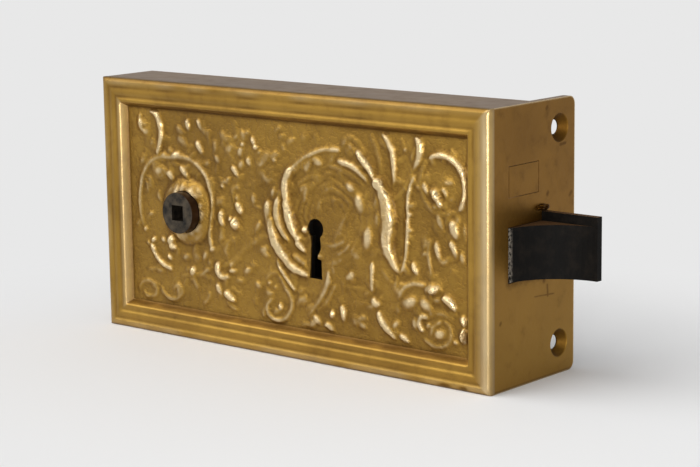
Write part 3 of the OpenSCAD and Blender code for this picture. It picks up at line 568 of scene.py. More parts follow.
def ornament(x, z):
    """Height of the ornament above its ground: strokes and buds joined by max, on swellings.

    A blurred copy of the strokes is added, so that they rise out of the ground on broad feet.
    """
    swell = sum(
        rise * np.exp(-oval(x, z, cx, cz, length, width, turn))
        for cx, cz, length, width, turn, rise in SWELLINGS
    )
    strokes = np.zeros(x.shape)
    for table, powers, crease in ((STEMS, (0.12, 0.12), 0.0), (LEAVES, (0.35, 0.6), 0.3)):
        for points, half_width, rise in table:
            raise_stroke(strokes, x, z, points, half_width, firmness(rise), powers, crease)
    for cx, cz, length, width, turn, rise in BUDS:
        dome = np.maximum(1 - oval(x, z, cx, cz, 1.15 * length, 1.15 * width, turn), 0)
        strokes = np.maximum(strokes, firmness(rise) * dome)
    low = np.zeros(x.shape)
    for points, half_width, rise in scattered_leaves(260):
        raise_stroke(low, x, z, points, half_width, rise, (0.4, 0.6), 0.2)
    low = shaken(low, x, z, 0.6, 2.6, SEED_SHAKE[0])
    low = shaken(low, x, z, 0.3, 1.1, SEED_SHAKE[1])
    plain = np.exp(-oval(x, z, *PLAIN_PATCH))
    strokes = np.maximum(strokes, low * (1 - 0.9 * plain) + plumage(x, z))
    strokes = shaken(strokes, x, z, 0.16, 1.4, SEED_STROKE_SHAKE)
    coarse, fine = cloud(x, z, 1.8, SEED_STROKES[0]), cloud(x, z, 0.8, SEED_STROKES[1])
    strokes *= 1 + 0.13 * coarse + 0.09 * fine
    return swell + 0.85 * strokes + 0.8 * blurred(strokes, 1.1 / sizes().cell)


def boss_ring(x, z):
    """Height of the collar round the hub: highest at the hub, a cone, then down to the ground."""
    r = np.hypot(x - HUB_X, z - HUB_Z)
    ground = sizes().ground
    radii, depths = (7.0, 9.6, 10.9), (0.45, 1.45, ground)
    cone = ground - np.interp(r, radii, depths)
    coarse, fine = cloud(x, z, 3.2, SEED_COLLAR[0]), cloud(x, z, 1.3, SEED_COLLAR[1])
    hand_cut = 1 + 0.16 * coarse + 0.1 * fine
    return blurred(cone * hand_cut, 0.32 / sizes().cell)


def keyhole_outline():
    """Closed outline of the keyhole: an arc of the round pin hole, then the slot with its tooth."""
    half_top, half_foot, reach = 1.8, 2.5, 15.0
    tooth_low, tooth_drop, tooth_high, tooth_tip = 9.2, 8.8, 6.0, 0.75
    join = math.asin(half_top / KEY_PIN_R)
    turns = np.linspace(-math.pi / 2 + join, 3 * math.pi / 2 - join, 41)
    arc = np.stack([KEY_PIN_R * np.cos(turns), KEY_PIN_R * np.sin(turns)], axis=1)
    side_low, side_high = (half_top + (half_foot - half_top) * drop / reach
                           for drop in (tooth_low, tooth_high))
    slot = [(-half_foot, -reach), (half_foot, -reach), (side_low, -tooth_low),
            (tooth_tip, -tooth_drop), (side_high, -tooth_high)]
    return np.concatenate([arc, slot]) + (KEY_X, KEY_Z)


def circle_outline(centre_x, centre_z, radius, steps=96):
    """Points of a circle: centre + radius (cos t, sin t), t in even steps."""
    turns = np.linspace(0, 2 * math.pi, steps, endpoint=False)
    return np.stack([centre_x + radius * np.cos(turns), centre_z + radius * np.sin(turns)], axis=1)


def inside(outline, x, z):
    """Even-odd test of many points against a closed outline."""
    odd = np.zeros(x.shape, bool)
    for (x0, z0), (x1, z1) in zip(outline, np.roll(outline, -1, axis=0)):
        if z0 == z1:
            continue
        crosses = ((z0 > z) != (z1 > z)) & (x < x0 + (z - z0) * (x1 - x0) / (z1 - z0))
        odd ^= crosses
    return odd


def thicken_outline(outline, step=0.04):
    """The outline with points every step along its sides."""
    pieces = []
    for start, end in zip(outline, np.roll(outline, -1, axis=0)):
        count = max(2, int(np.linalg.norm(end - start) / step))
        pieces.append(start + (end - start) * np.linspace(0, 1, count, endpoint=False)[:, None])
    return np.concatenate(pieces)


def border_loops(kept):
    """Closed loops of grid corners round the kept cells, with the kept side on the left."""
    padded = np.pad(kept, 1)
    follows = {}
    sides = [((0, 0), (1, 0), (0, -1)), ((1, 0), (1, 1), (1, 0)),
             ((1, 1), (0, 1), (0, 1)), ((0, 1), (0, 0), (-1, 0))]
    for start, end, outside in sides:
        beyond = padded[1 + outside[0] : padded.shape[0] - 1 + outside[0],
                        1 + outside[1] : padded.shape[1] - 1 + outside[1]]
        for i, j in np.argwhere(kept & ~beyond):
            follows[(i + start[0], j + start[1])] = (i + end[0], j + end[1])
    loops = []
    while follows:
        first = next(iter(follows))
        loop, at = [first], follows.pop(first)
        while at != first:
            loop.append(at)
            at = follows.pop(at)
        loops.append(loop)
    return loops


def relief_surface():
    """The relief as a closed skin: a height field on a grid, side walls and a flat foot.

    Its top is ground depth less ornament height. Cells inside the hub's hole and the keyhole
    are left out, and the corners left on their borders are moved onto the outlines.
    """
    s = sizes()
    margin = s.foot - 0.5
    xs = np.arange(margin, CASE_LENGTH - margin + s.cell / 2, s.cell)
    zs = np.arange(margin, CASE_HEIGHT - margin + s.cell / 2, s.cell)
    x, z = np.meshgrid(xs, zs, indexing="ij")

    raised = blurred(ornament(x, z), 0.26 / s.cell) * s.relief_gain
    from_edge = np.minimum(np.minimum(x - xs[0], xs[-1] - x), np.minimum(z - zs[0], zs[-1] - z))
    raised *= np.clip(from_edge / 1.2, 0, 1)
    grain = sum(depth * cloud(x, z, size, seed)
                for depth, size, seed in zip((0.05, 0.035, 0.02), (6, 2.2, 0.9), SEED_GRAIN))
    grain *= np.clip(from_edge / 0.6, 0, 1)
    ring = boss_ring(x, z)
    field = np.maximum(np.minimum(raised + grain, s.ground - 0.2), ring + 0.4 * grain)
    field = np.maximum(field, -0.06)

    holes = [circle_outline(HUB_X, HUB_Z, HUB_HOLE_R), keyhole_outline()]
    mid_x, mid_z = (x[:-1, :-1] + x[1:, 1:]) / 2, (z[:-1, :-1] + z[1:, 1:]) / 2
    kept = ~np.logical_or.reduce([inside(h, mid_x, mid_z) for h in holes])
    loops = border_loops(kept)
    loops.sort(key=len, reverse=True)
    for loop in loops[1:]:
        ids = tuple(np.array(loop).T)
        corners = np.stack([x[ids], z[ids]], axis=1)
        middle = corners.mean(0)
        hole = min(holes, key=lambda h: np.linalg.norm(h.mean(0) - middle))
        line = thicken_outline(hole)
        near = np.linalg.norm(corners[:, None] - line[None], axis=2).argmin(1)
        x[ids], z[ids] = line[near].T

    index = np.arange(x.size).reshape(x.shape)
    quads = np.stack([index[:-1, :-1], index[1:, :-1], index[1:, 1:], index[:-1, 1:]], axis=-1)
    quads = quads[kept]
    rims = [np.array([index[c] for c in loop]) for loop in loops]
    rim_all = np.concatenate(rims)
    foot_of = {int(v): x.size + k for k, v in enumerate(rim_all)}
    walls = [
        (int(b), int(a), foot_of[int(a)], foot_of[int(b)])
        for rim in rims
        for a, b in zip(rim, np.roll(rim, -1))
    ]
    flat = [[Vector((x.flat[v], z.flat[v], 0)) for v in rim] for rim in rims]
    foot = [tuple(foot_of[int(rim_all[k])] for k in tri) for tri in tessellate_polygon(flat)]

    top = in_frame(x.ravel(), s.ground - field.ravel(), z.ravel())
    bottom = in_frame(x.flat[rim_all], s.relief_foot, z.flat[rim_all])
    points = np.concatenate([top, bottom])
    used = np.unique(np.concatenate([quads.ravel(), np.arange(x.size, len(points))]))
    renumber = np.full(len(points), -1)
    renumber[used] = np.arange(len(used))
    faces = [tuple(renumber[list(f)]) for f in [*quads.tolist(), *walls]]
    # the flat foot faces the door
    for a, b, c in foot:
        turn = np.cross(points[b] - points[a], points[c] - points[a])[1]
        faces.append(tuple(renumber[[a, b, c]] if turn > 0 else renumber[[a, c, b]]))

    wide, mid = blurred(field, 1.3 / s.cell), blurred(field, 0.55 / s.cell)
    hollow = 0.55 * np.clip((wide - field) / 0.4, 0, 1)
    hollow += 0.35 * np.clip((mid - field) / 0.1, 0, 1)
    # painted shade, with some grime, where the ground runs in under the moulding's foot
    hollow += np.clip(1 - from_edge / 1.3, 0, 1) ** 1.5 * 0.9
    # darker round the hub: grime at its root and painted shade of the hub
    from_hub = np.hypot(x - HUB_X, z - HUB_Z)
    hollow += 0.55 * np.clip((8.3 - from_hub) / 1.4, 0, 1)
    for strength, patch in DIRT_PATCHES:
        hollow += strength * np.exp(-oval(x, z, *patch))
    hollow += 0.12 * np.clip(1 - field / 0.5, 0, 1)
    wear_and_highlight = np.clip((field - wide - 0.07) / 0.3, 0, 1) * np.clip((field - 0.25) / 0.6, 0, 1)
    # the side walls and the flat foot take the full hollow value and no wear: painted shade in the
    # keyhole and the hub's hole
    values = [np.concatenate([v.ravel(), np.full(len(rim_all), 1.0 - k)])[used]
              for k, v in enumerate((np.clip(hollow, 0, 1), wear_and_highlight))]
    return points[used], faces, values


# ------------------------------------------------------------------ moulding


# Crowns and valleys of the moulding: (distance inwards from the edge, depth)
MOULDING = [(1.5, -0.26), (2.85, 0.08), (4.4, -0.1), (5.75, 0.26), (7.1, 0.0), (9.35, 2.47)]


def moulding_depth(inward, radius):
    """Depth of the moulding at each distance inwards: a round edge, then half cosine waves
    from each crown to the next valley."""
    at, depth = np.array(MOULDING).T
    k = np.clip(np.searchsorted(at, inward) - 1, 0, len(at) - 2)
    share = np.clip((inward - at[k]) / (at[k + 1] - at[k]), 0, 1)
    waves = depth[k] + (depth[k + 1] - depth[k]) * (1 - np.cos(math.pi * share)) / 2
    across = np.clip((at[0] - inward) / at[0], 0, 1)
    rounded = radius - (radius - depth[0]) * np.sqrt(1 - across * across)
    return np.where(inward < at[0], rounded, waves)


def moulding_piece():
    """The front moulding's skin: its section carried round the front's rectangle, mitred at
    each corner, with slow waves of height along the sides from the hand finish."""
    s = sizes()
    spacing, skirt_in, skirt_depth = 0.12, 0.3, 2.35
    crown = MOULDING[0][0]
    edge = crown * (1 - np.cos(np.linspace(0, math.pi / 2, 12)))
    inward = np.concatenate([edge, np.arange(crown + spacing, s.foot, spacing), [s.foot]])
    proud = 0.04
    section_in = np.concatenate([[skirt_in], [-proud], inward - proud * (1 - inward / s.foot),
                                 [s.foot, skirt_in]])
    section_y = np.concatenate([[skirt_depth], [2.3], moulding_depth(inward, s.edge_radius),
                                [s.panel + 0.2, s.panel + 0.2]])

    corners = np.array([(0, 0), (CASE_LENGTH, 0), (CASE_LENGTH, CASE_HEIGHT), (0, CASE_HEIGHT)])
    diagonals = np.array([(1, 1), (-1, 1), (-1, -1), (1, -1)])
    stations = []
    for k in range(4):
        start, end = corners[k], corners[(k + 1) % 4]
        count = int(np.linalg.norm(end - start) / 1.2)
        share = np.linspace(0, 1, count, endpoint=False)[:, None]
        lean = diagonals[k] * (1 - share) + diagonals[(k + 1) % 4] * share
        stations.append(np.concatenate([start + (end - start) * share, lean], axis=1))
    stations = np.concatenate(stations)
    x = stations[:, :1] + section_in * stations[:, 2:3]
    z = stations[:, 1:2] + section_in * stations[:, 3:4]
    slow, quick = cloud(x, z, 9, SEED_MOULDING[0]), cloud(x, z, 2.5, SEED_MOULDING[1])
    wave = 0.015 * (1 + slow) + 0.02 * (1 + quick)
    crowned = (section_y < 0.5) & (section_in > 0.5)
    y = section_y - wave * crowned

    points = in_frame(x.ravel(), y.ravel(), z.ravel())
    quads = ring_faces(*x.shape).tolist()
    piece = new_piece("front_moulding", points, quads, "case", 60)

    patches = np.clip(0.55 + 0.6 * cloud(x, z, 7, SEED_PATCHES), 0, 1)
    valleys = sum(share * np.exp(-(((section_in - at) / 0.42) ** 2))
                  for share, at in ((0.8, MOULDING[1][0]), (0.9, MOULDING[3][0])))
    # painted shade on the deep foot of the moulding, behind its bead
    foot = np.clip((section_y - 1.35) / 0.8, 0, 1)
    # painted contact shadow along the bottom edge, where the front stands on the floor
    base = np.exp(-((z / 0.55) ** 2))
    from_left, from_right, from_top = x, CASE_LENGTH - x, CASE_HEIGHT - z
    on_left = (from_left <= z + 0.01) & (from_left <= from_top + 0.01)
    on_right = (from_right <= z + 0.01) & (from_right <= from_top + 0.01)
    on_top = (from_top < from_left) & (from_top < from_right) & (from_top < z)
    level = ~on_left & ~on_right
    # painted shade on the inner slope of the top and bottom sides
    slope = np.clip((section_in - 7.5) / 0.8, 0, 1) * level
    slope = slope * np.clip(0.8 + cloud(x, z, 5, SEED_SLOPE), 0, 1)
    # painted shade along the top side's outer edge, and the top side's valleys made darker
    top_edge = 0.6 * on_top * np.clip((1.1 - section_in) / 0.5, 0, 1)
    shaded = 0.7 + 0.25 * on_top
    chips = sum(np.exp(-(((x - at) / half) ** 2)) for at, half in CHIPS)
    chips = chips * np.exp(-(((z - 0.9) / 0.5) ** 2))
    # the hollow value holds real grime in the valleys and chips, and painted shade
    hollow = valleys * patches * shaded + foot + 0.8 * base + slope + top_edge + 2 * chips
    # painted highlights: the left side's bead and the right-hand rim are made pale where they catch
    # the light; the rim all round is real wear
    bead = 0.4 * on_left * np.exp(-(((section_in - 7.6) / 1.0) ** 2))
    right_rim = 0.65 * on_right * np.exp(-(((section_in - 1.6) / 1.8) ** 2))
    rim = 0.3 * (1 - top_edge) * np.exp(-(((section_in - 1.3) / 0.8) ** 2))
    point_values(piece, "hollow", np.clip(hollow, 0, 1).ravel())
    point_values(piece, "wear_and_highlight", np.clip(bead + right_rim + rim * patches - chips, 0, 1).ravel())
    return piece


# ------------------------------------------------------------------ forend


def gap_filling():
    """Dirt and old lacquer in the gap round the dead bolt: a square strip carried round the
    bolt's rectangle. It is deep along most of the top and bottom, where the gap shows as a
    line, and nearly flush along the bolt's ends and the front of its bottom."""
    (_, y0, z0), (_, y1, z1) = DEAD_HEAD_LOW, DEAD_HEAD_HIGH
    corners = np.array([(y0, z0), (y1, z0), (y1, z1), (y0, z1)])
    away = np.array([(-1, -1), (1, -1), (1, 1), (-1, 1)])
    steps = 40
    share = np.linspace(0, 1, steps, endpoint=False)[:, None]
    after, away_after = np.roll(corners, -1, axis=0), np.roll(away, -1, axis=0)
    line = np.concatenate([a + (b - a) * share for a, b in zip(corners, after)])
    out = np.concatenate([a + (b - a) * share for a, b in zip(away, away_after)])
    section = np.array([GAP_NEAR, GAP_FAR, GAP_FAR, GAP_NEAR])
    y, z = line[:, :1] + out[:, :1] * section, line[:, 1:] + out[:, 1:] * section
    side = np.repeat(np.arange(4), steps)
    level = np.isin(side, (0, 2))
    short = (side == 0) & (line[:, 0] < y0 + 0.35 * (y1 - y0))
    sunk, flush, rough = 0.3, 0.04, cloud(line[:, 0], line[:, 1], 2.0, SEED_DIRT)
    deep = np.where(level & ~short, sunk, flush) + 0.05 * (1 + rough)
    top = CASE_LENGTH - deep[:, None]
    x = np.concatenate([top, top, np.full((len(line), 2), CASE_LENGTH - 1.5)], axis=1)
    points = in_frame(x.ravel(), y.ravel(), z.ravel())
    # the strip runs with its outside on the other hand, so each quad is turned over
    quads = ring_faces(*x.shape)[:, [0, 3, 2, 1]].tolist()
    return new_piece("bolt_gap_filling", points, quads, "case", 30)


def mortice_burr():
    """A torn burr at the latch mortice's top back corner: a ball stretched to its half axes and
    roughened by a few waves, half of it within the forend."""
    rings, steps = 24, 40
    tilt = np.linspace(0, math.pi, rings + 2)[1:-1, None]
    turn = np.linspace(0, 2 * math.pi, steps, endpoint=False)[None]
    unit = np.stack([np.cos(tilt) + 0 * turn, np.sin(tilt) * np.cos(turn),
                     np.sin(tilt) * np.sin(turn)], axis=-1)
    poles = np.array([(1.0, 0, 0), (-1.0, 0, 0)])
    unit = np.concatenate([unit.reshape(-1, 3), poles])
    a, b, c = unit.T
    rough = 1 + 0.13 * np.sin(7 * b + 4 * c + 1) * np.cos(6 * a - 5 * c)
    rough += 0.08 * np.sin(15 * c + 9 * b) * np.cos(13 * a)
    at = unit * rough[:, None] * BURR_HALF + BURR_MIDDLE
    index = np.arange(rings * steps).reshape(rings, steps)
    beside = np.roll(index, -1, axis=1)
    quads = np.stack([index[:-1], index[1:], beside[1:], beside[:-1]], axis=-1).reshape(-1, 4)
    first, last = rings * steps, rings * steps + 1
    caps = [(first, int(a), int(b)) for a, b in zip(index[0], beside[0])]
    caps += [(last, int(b), int(a)) for a, b in zip(index[-1], beside[-1])]
    points = in_frame(at[:, 0], at[:, 1], at[:, 2])
    return new_piece("mortice_burr", points, quads.tolist() + caps, "case", 40)


# ------------------------------------------------------------------ materials


def plug(tree, node, inputs):
    """Gives a node's input sockets their values, or links other sockets to them."""
    for name, value in inputs.items():
        if isinstance(value, bpy.types.NodeSocket):
            tree.links.new(value, node.inputs[name])
        else:
            node.inputs[name].default_value = value


def add_node(tree, kind, inputs=None, **settings):
    """Adds a node: settings are its own choices, inputs its sockets, by value or by link."""
    node = tree.nodes.new(kind)
    for name, value in settings.items():
        setattr(node, name, value)
    plug(tree, node, inputs or {})
    return node


def new_material(name):
    """A material with an empty tree but for its output and shader."""
    material = bpy.data.materials.new(name)
    material.use_nodes = True
    tree = material.node_tree
    tree.nodes.clear()
    shader = add_node(tree, "ShaderNodeBsdfPrincipled")
    add_node(tree, "ShaderNodeOutputMaterial", {"Surface": shader.outputs["BSDF"]})
    return material, tree, shader


def shade(tree, shader, colour, metallic, roughness, normal):
    """Gives a material's shader its look, each part by value or by link."""
    plug(tree, shader, {"Base Color": colour, "Metallic": metallic, "Roughness": roughness,
                        "Normal": normal})


def object_place(tree):
    """The point being shaded, in metres."""
    return add_node(tree, "ShaderNodeTexCoord").outputs["Object"]


def ramp(tree, value, low, high):
    """The share, clamped, at which a value lies from low to high."""
    node = add_node(tree, "ShaderNodeMapRange", {"Value": value, "From Min": low, "From Max": high})
    return node.outputs["Result"]


def mixed(tree, share, first, second):
    """The colour between two, at a share."""
    node = add_node(tree, "ShaderNodeMix", {0: share, 6: first, 7: second}, data_type="RGBA")
    return node.outputs[2]


def calc(tree, operation, first, second=0.0, third=0.0):
    """One sum on numbers."""
    numbers = {0: first, 1: second, 2: third}
    return add_node(tree, "ShaderNodeMath", numbers, operation=operation).outputs[0]


def hypotenuse(tree, first, second):
    """sqrt(a^2 + b^2)."""
    squares = [calc(tree, "MULTIPLY", value, value) for value in (first, second)]
    return calc(tree, "SQRT", calc(tree, "ADD", *squares))


def noise(tree, where, size_mm, detail=3.0, roughness=0.5):
    """Noise whose blots are about size_mm across, on coordinates in metres."""
    node = add_node(tree, "ShaderNodeTexNoise",
                    {"Vector": where, "Scale": 1 / (size_mm * MM), "Detail": detail,
                     "Roughness": roughness})
    return node.outputs["Fac"]


def bumped(tree, height, distance_mm, strength, normal=None):
    """Bump of a height from 0 to 1 that stands for distance_mm."""
    inputs = {"Height": height, "Distance": distance_mm * MM, "Strength": strength}
    if normal is not None:
        inputs["Normal"] = normal
    return add_node(tree, "ShaderNodeBump", inputs).outputs["Normal"]


def place_of(tree):
    """Lock coordinates, in millimetres, at the point being shaded: three sockets."""
    where = object_place(tree)
    scale = add_node(tree, "ShaderNodeMapping", {
        "Vector": where, "Location": tuple(-np.array(CASE_LOW) / MM), "Scale": (1 / MM,) * 3})
    split = add_node(tree, "ShaderNodeSeparateXYZ", {"Vector": scale.outputs["Vector"]})
    return split.outputs[0], split.outputs[1], split.outputs[2]


def product(tree, *shares):
    """Several shares multiplied."""
    total = shares[0]
    for share in shares[1:]:
        total = calc(tree, "MULTIPLY", total, share)
    return total


def off_box(tree, y, z, low, high):
    """Distance in y and z from a box given by its corners, nought inside it."""
    off = []
    for value, start, end in ((y, low[1], high[1]), (z, low[2], high[2])):
        from_middle = calc(tree, "ABSOLUTE", calc(tree, "SUBTRACT", value, float(start + end) / 2))
        beyond = calc(tree, "SUBTRACT", from_middle, float(end - start) / 2)
        off.append(calc(tree, "MAXIMUM", beyond, 0.0))
    return hypotenuse(tree, *off)


def off_line(tree, y, z, start, end):
    """Distance in y and z from a short straight line."""
    way = np.subtract(end, start)
    length = float(np.hypot(*way)) or 1.0
    way = way / length
    off_y, off_z = calc(tree, "SUBTRACT", y, start[0]), calc(tree, "SUBTRACT", z, start[1])
    along = calc(tree, "ADD", calc(tree, "MULTIPLY", off_y, float(way[0])),
                 calc(tree, "MULTIPLY", off_z, float(way[1])))
    nearest = calc(tree, "MINIMUM", calc(tree, "MAXIMUM", along, 0.0), length)
    beyond = calc(tree, "SUBTRACT", along, nearest)
    across = calc(tree, "SUBTRACT", calc(tree, "MULTIPLY", off_y, float(way[1])),
                  calc(tree, "MULTIPLY", off_z, float(way[0])))
    return hypotenuse(tree, beyond, across)


def casting_masks(tree):
    """Where the casting's inside is painted near black as shade, and where its outside is darker:
    in the forend's countersinks, a painted contact shadow along its foot, painted shade of the
    latch with grime round its mortice, and at the marks of wear."""
    x, y, z = place_of(tree)
    # the casting's inside is painted near black as shade
    within = product(
        tree, ramp(tree, x, 3.0, 3.5),
        ramp(tree, x, CASE_LENGTH - FOREND_THICK + 0.3, CASE_LENGTH - FOREND_THICK - 0.1),
        ramp(tree, z, 3.0, 3.5), ramp(tree, z, CASE_HEIGHT - 3.0, CASE_HEIGHT - 3.5),
        ramp(tree, y, 2.42, 2.46))
    holes = MOUNTS["forend_screws"]
    _, hole_y, middle = to_lock(holes["pos_m"])
    half = holes["dims"]["spacing_y_mm"] / 2
    sunk = 0.0
    for hole_z in (middle - half, middle + half):
        r = hypotenuse(tree, calc(tree, "SUBTRACT", y, hole_y),
                       calc(tree, "SUBTRACT", z, float(hole_z)))
        below_face = ramp(tree, x, CASE_LENGTH - 0.02, CASE_LENGTH - 0.1)
        here = product(tree, ramp(tree, r, SINK_R, SINK_R - 0.25), below_face)
        sunk = calc(tree, "MAXIMUM", sunk, here)
    # painted contact shadow along the foot
    foot = ramp(tree, z, 1.0, 0.3)
    ragged = calc(tree, "MULTIPLY_ADD", noise(tree, object_place(tree), 1.5, 3, 0.7), 3.0, -1.5)
    # painted shade of the black latch round its mortice, with some grime
    edge = calc(tree, "ADD", off_box(tree, y, z, MORTICE_LOW, MORTICE_HIGH), ragged)
    on_face = ramp(tree, x, CASE_LENGTH - 0.5, CASE_LENGTH)
    latch_shade_and_grime = product(tree, ramp(tree, edge, 2.2, 0.2), on_face, 0.85)
    marks, wander = 0.0, calc(tree, "MULTIPLY", ragged, 0.12)
    for start, end, half_width, strength in FOREND_MARKS:
        gap = calc(tree, "ADD", off_line(tree, y, z, start, end), wander)
        here = product(tree, ramp(tree, gap, 1.6 * half_width, 0.4 * half_width), on_face, strength)
        marks = calc(tree, "MAXIMUM", marks, here)
    soil_and_shade = calc(tree, "MAXIMUM", calc(tree, "MAXIMUM", sunk, foot), latch_shade_and_grime)
    return within, calc(tree, "MAXIMUM", soil_and_shade, marks)


def rubbed_edges(tree):
    """Where the casting's outer edges are rubbed, but not the edges of its mortices."""
    _, y, z = place_of(tree)
    rounded = add_node(tree, "ShaderNodeBevel", {"Radius": 0.8 * MM}, samples=4).outputs["Normal"]
    flat = add_node(tree, "ShaderNodeNewGeometry").outputs["Normal"]
    facing = add_node(tree, "ShaderNodeVectorMath", {0: rounded, 1: flat}, operation="DOT_PRODUCT")
    edge = ramp(tree, facing.outputs["Value"], 0.995, 0.8)
    inner = product(
        tree, ramp(tree, z, 1.5, 3.0), ramp(tree, z, CASE_HEIGHT - 1.5, CASE_HEIGHT - 3),
        ramp(tree, y, 39.5, 38.0))
    return product(tree, edge, calc(tree, "SUBTRACT", 1.0, inner))


def brass_finish(name, base, from_mesh=False, edge_wear=True, tooled=False):
    """Cast brass under an old gilt lacquer: warm and soft, rubbed pale on the high points and
    brown in the hollows, with painted shade and painted highlights mixed in by the same values.
    On new pieces the mesh says where those are; on the casting's sides they come from its edges
    and from slow blots of tarnish, with painted light towards their bottom, and the casting's
    inside and the relief's deepest walls are painted near black as shade. A tooled ground has
    fine dark creases, where noise crosses its middle value."""
    c = colours()
    material, tree, shader = new_material(name)
    where = object_place(tree)
    slow = noise(tree, where, 26, 2)
    blots = noise(tree, where, 5, 4, 0.6)
    fine = noise(tree, where, 0.8, 3, 0.6)
    tone = mixed(tree, calc(tree, "MULTIPLY", ramp(tree, slow, 0.42, 0.7), 0.34), base, c.patina_and_shade)
    tone = mixed(tree, calc(tree, "MULTIPLY", ramp(tree, blots, 0.5, 0.74), 0.32), tone, c.patina_and_shade)
    if from_mesh:
        hollow = add_node(tree, "ShaderNodeAttribute", attribute_name="hollow").outputs["Fac"]
        wear_and_highlight = add_node(tree, "ShaderNodeAttribute", attribute_name="wear_and_highlight").outputs["Fac"]
        # the relief's walls deeper than its ground are painted near black as shade
        within = ramp(tree, place_of(tree)[1], 2.75, 2.85)
    else:
        within, soil_and_shade = casting_masks(tree)
        spots = calc(tree, "MULTIPLY", ramp(tree, blots, 0.62, 0.8), 0.4)
        hollow = calc(tree, "MAXIMUM", soil_and_shade, spots)
        wear_and_highlight = rubbed_edges(tree) if edge_wear else 0.0
        # painted light from the floor: the sides turn towards the brighter front brass lower down
        painted_floor_light = calc(tree, "MULTIPLY", ramp(tree, place_of(tree)[2], 50.0, 5.0), 0.5)
        tone = mixed(tree, painted_floor_light, tone, c.brass)
    if tooled:
        swirl = noise(tree, where, 3.2, 4, 0.65)
        cuts = ramp(tree, calc(tree, "ABSOLUTE", calc(tree, "SUBTRACT", swirl, 0.5)), 0.0, 0.07)
        hollow = calc(tree, "ADD", hollow, product(tree, calc(tree, "SUBTRACT", 1.0, cuts), 0.22))
    # the hollow value darkens with grime and tarnish, and with painted shade where the masks hold
    # it
    dirt = calc(tree, "MULTIPLY", hollow, calc(tree, "MULTIPLY_ADD", fine, 0.5, 0.5))
    dirt = calc(tree, "MINIMUM", dirt, 0.85)
    tone = mixed(tree, dirt, tone, c.patina_and_shade)
    # pale where rubbed, and painted highlights where the moulding's values hold them
    tone = mixed(tree, calc(tree, "MULTIPLY", wear_and_highlight, 0.6), tone, c.rubbed)
    # painted shade: the inside is made near black
    tone = mixed(tree, within, tone, linear("0A0704"))
    rough = calc(tree, "MULTIPLY_ADD", blots, 0.14, 0.31)
    rough = calc(tree, "MULTIPLY_ADD", dirt, 0.2, rough)
    rough = calc(tree, "MULTIPLY_ADD", wear_and_highlight, -0.1, rough)
    bright = calc(tree, "SUBTRACT", 0.97, calc(tree, "MULTIPLY", within, 0.95))
    if from_mesh:
        plug(tree, shader, {"Coat Weight": 0.12, "Coat Roughness": 0.3})
    normal = bumped(tree, blots, 0.12, 0.6)
    if tooled:
        normal = bumped(tree, cuts, 0.14, 0.55, normal)
    shade(tree, shader, tone, bright, rough, bumped(tree, fine, 0.03, 0.7, normal))
    return material


def dirt_finish():
    """Old lacquer and dust: matt brown, blotched where it has cracked."""
    material, tree, shader = new_material("old_lacquer_dirt")
    where = object_place(tree)
    blots = noise(tree, where, 1.5, 3, 0.6)
    tone = mixed(tree, ramp(tree, blots, 0.35, 0.65), linear("6A4A22"), linear("8A6430"))
    shade(tree, shader, tone, 0.5, 0.6, bumped(tree, blots, 0.05, 0.6))
    return material


def iron_finish(name, dark, light, roughness, metallic, rust=0.0):
    """Dark iron: a scaly, slightly brown black, lighter where it has rubbed."""
    material, tree, shader = new_material(name)
    where = object_place(tree)
    blots = noise(tree, where, 4, 4, 0.6)
    fine = noise(tree, where, 0.7, 3, 0.6)
    tone = mixed(tree, ramp(tree, blots, 0.4, 0.75), linear(dark), linear(light))
    if rust:
        spots = ramp(tree, noise(tree, where, 7, 5, 0.65), 0.5, 0.7)
        tone = mixed(tree, calc(tree, "MULTIPLY", spots, rust), tone, linear("6A3B1E"))
    rough = calc(tree, "MULTIPLY_ADD", fine, 0.2, roughness)
    normal = bumped(tree, fine, 0.03, 0.8, bumped(tree, blots, 0.1, 0.5))
    shade(tree, shader, tone, metallic, rough, normal)
    return material


def latch_finish():
    """Blackened forged iron of the latch: a lighter brown on its upward faces as painted light on
    its top, and rubbed to bare speckled metal along the front edge that meets the strike."""
    material, tree, shader = new_material("blackened_forged_iron")
    where = object_place(tree)
    _, y, _ = place_of(tree)
    blots = noise(tree, where, 4, 4, 0.6)
    fine = noise(tree, where, 0.7, 3, 0.6)
    tone = mixed(tree, ramp(tree, blots, 0.45, 0.75), linear("0B0907"), linear("1A1510"))
    # painted light: faces that look upwards turn a lighter brown
    facing = add_node(tree, "ShaderNodeNewGeometry").outputs["Normal"]
    up = add_node(tree, "ShaderNodeSeparateXYZ", {"Vector": facing}).outputs[2]
    tone = mixed(tree, ramp(tree, up, 0.5, 0.9), tone, linear("5C4229"))
    front_y = float(to_lock(LATCH_LOW)[1])
    rub = product(tree, ramp(tree, y, front_y + 1.7, front_y + 0.2), ramp(tree, fine, 0.42, 0.6))
    tone = mixed(tree, rub, tone, linear("9A9082"))
    bright = calc(tree, "MULTIPLY", rub, 0.8)
    rough = calc(tree, "MULTIPLY_ADD", fine, 0.15, 0.6)
    normal = bumped(tree, fine, 0.04, 0.8, bumped(tree, blots, 0.1, 0.5))
    shade(tree, shader, tone, bright, rough, normal)
    plug(tree, shader, {"Specular IOR Level": 0.1})
    return material


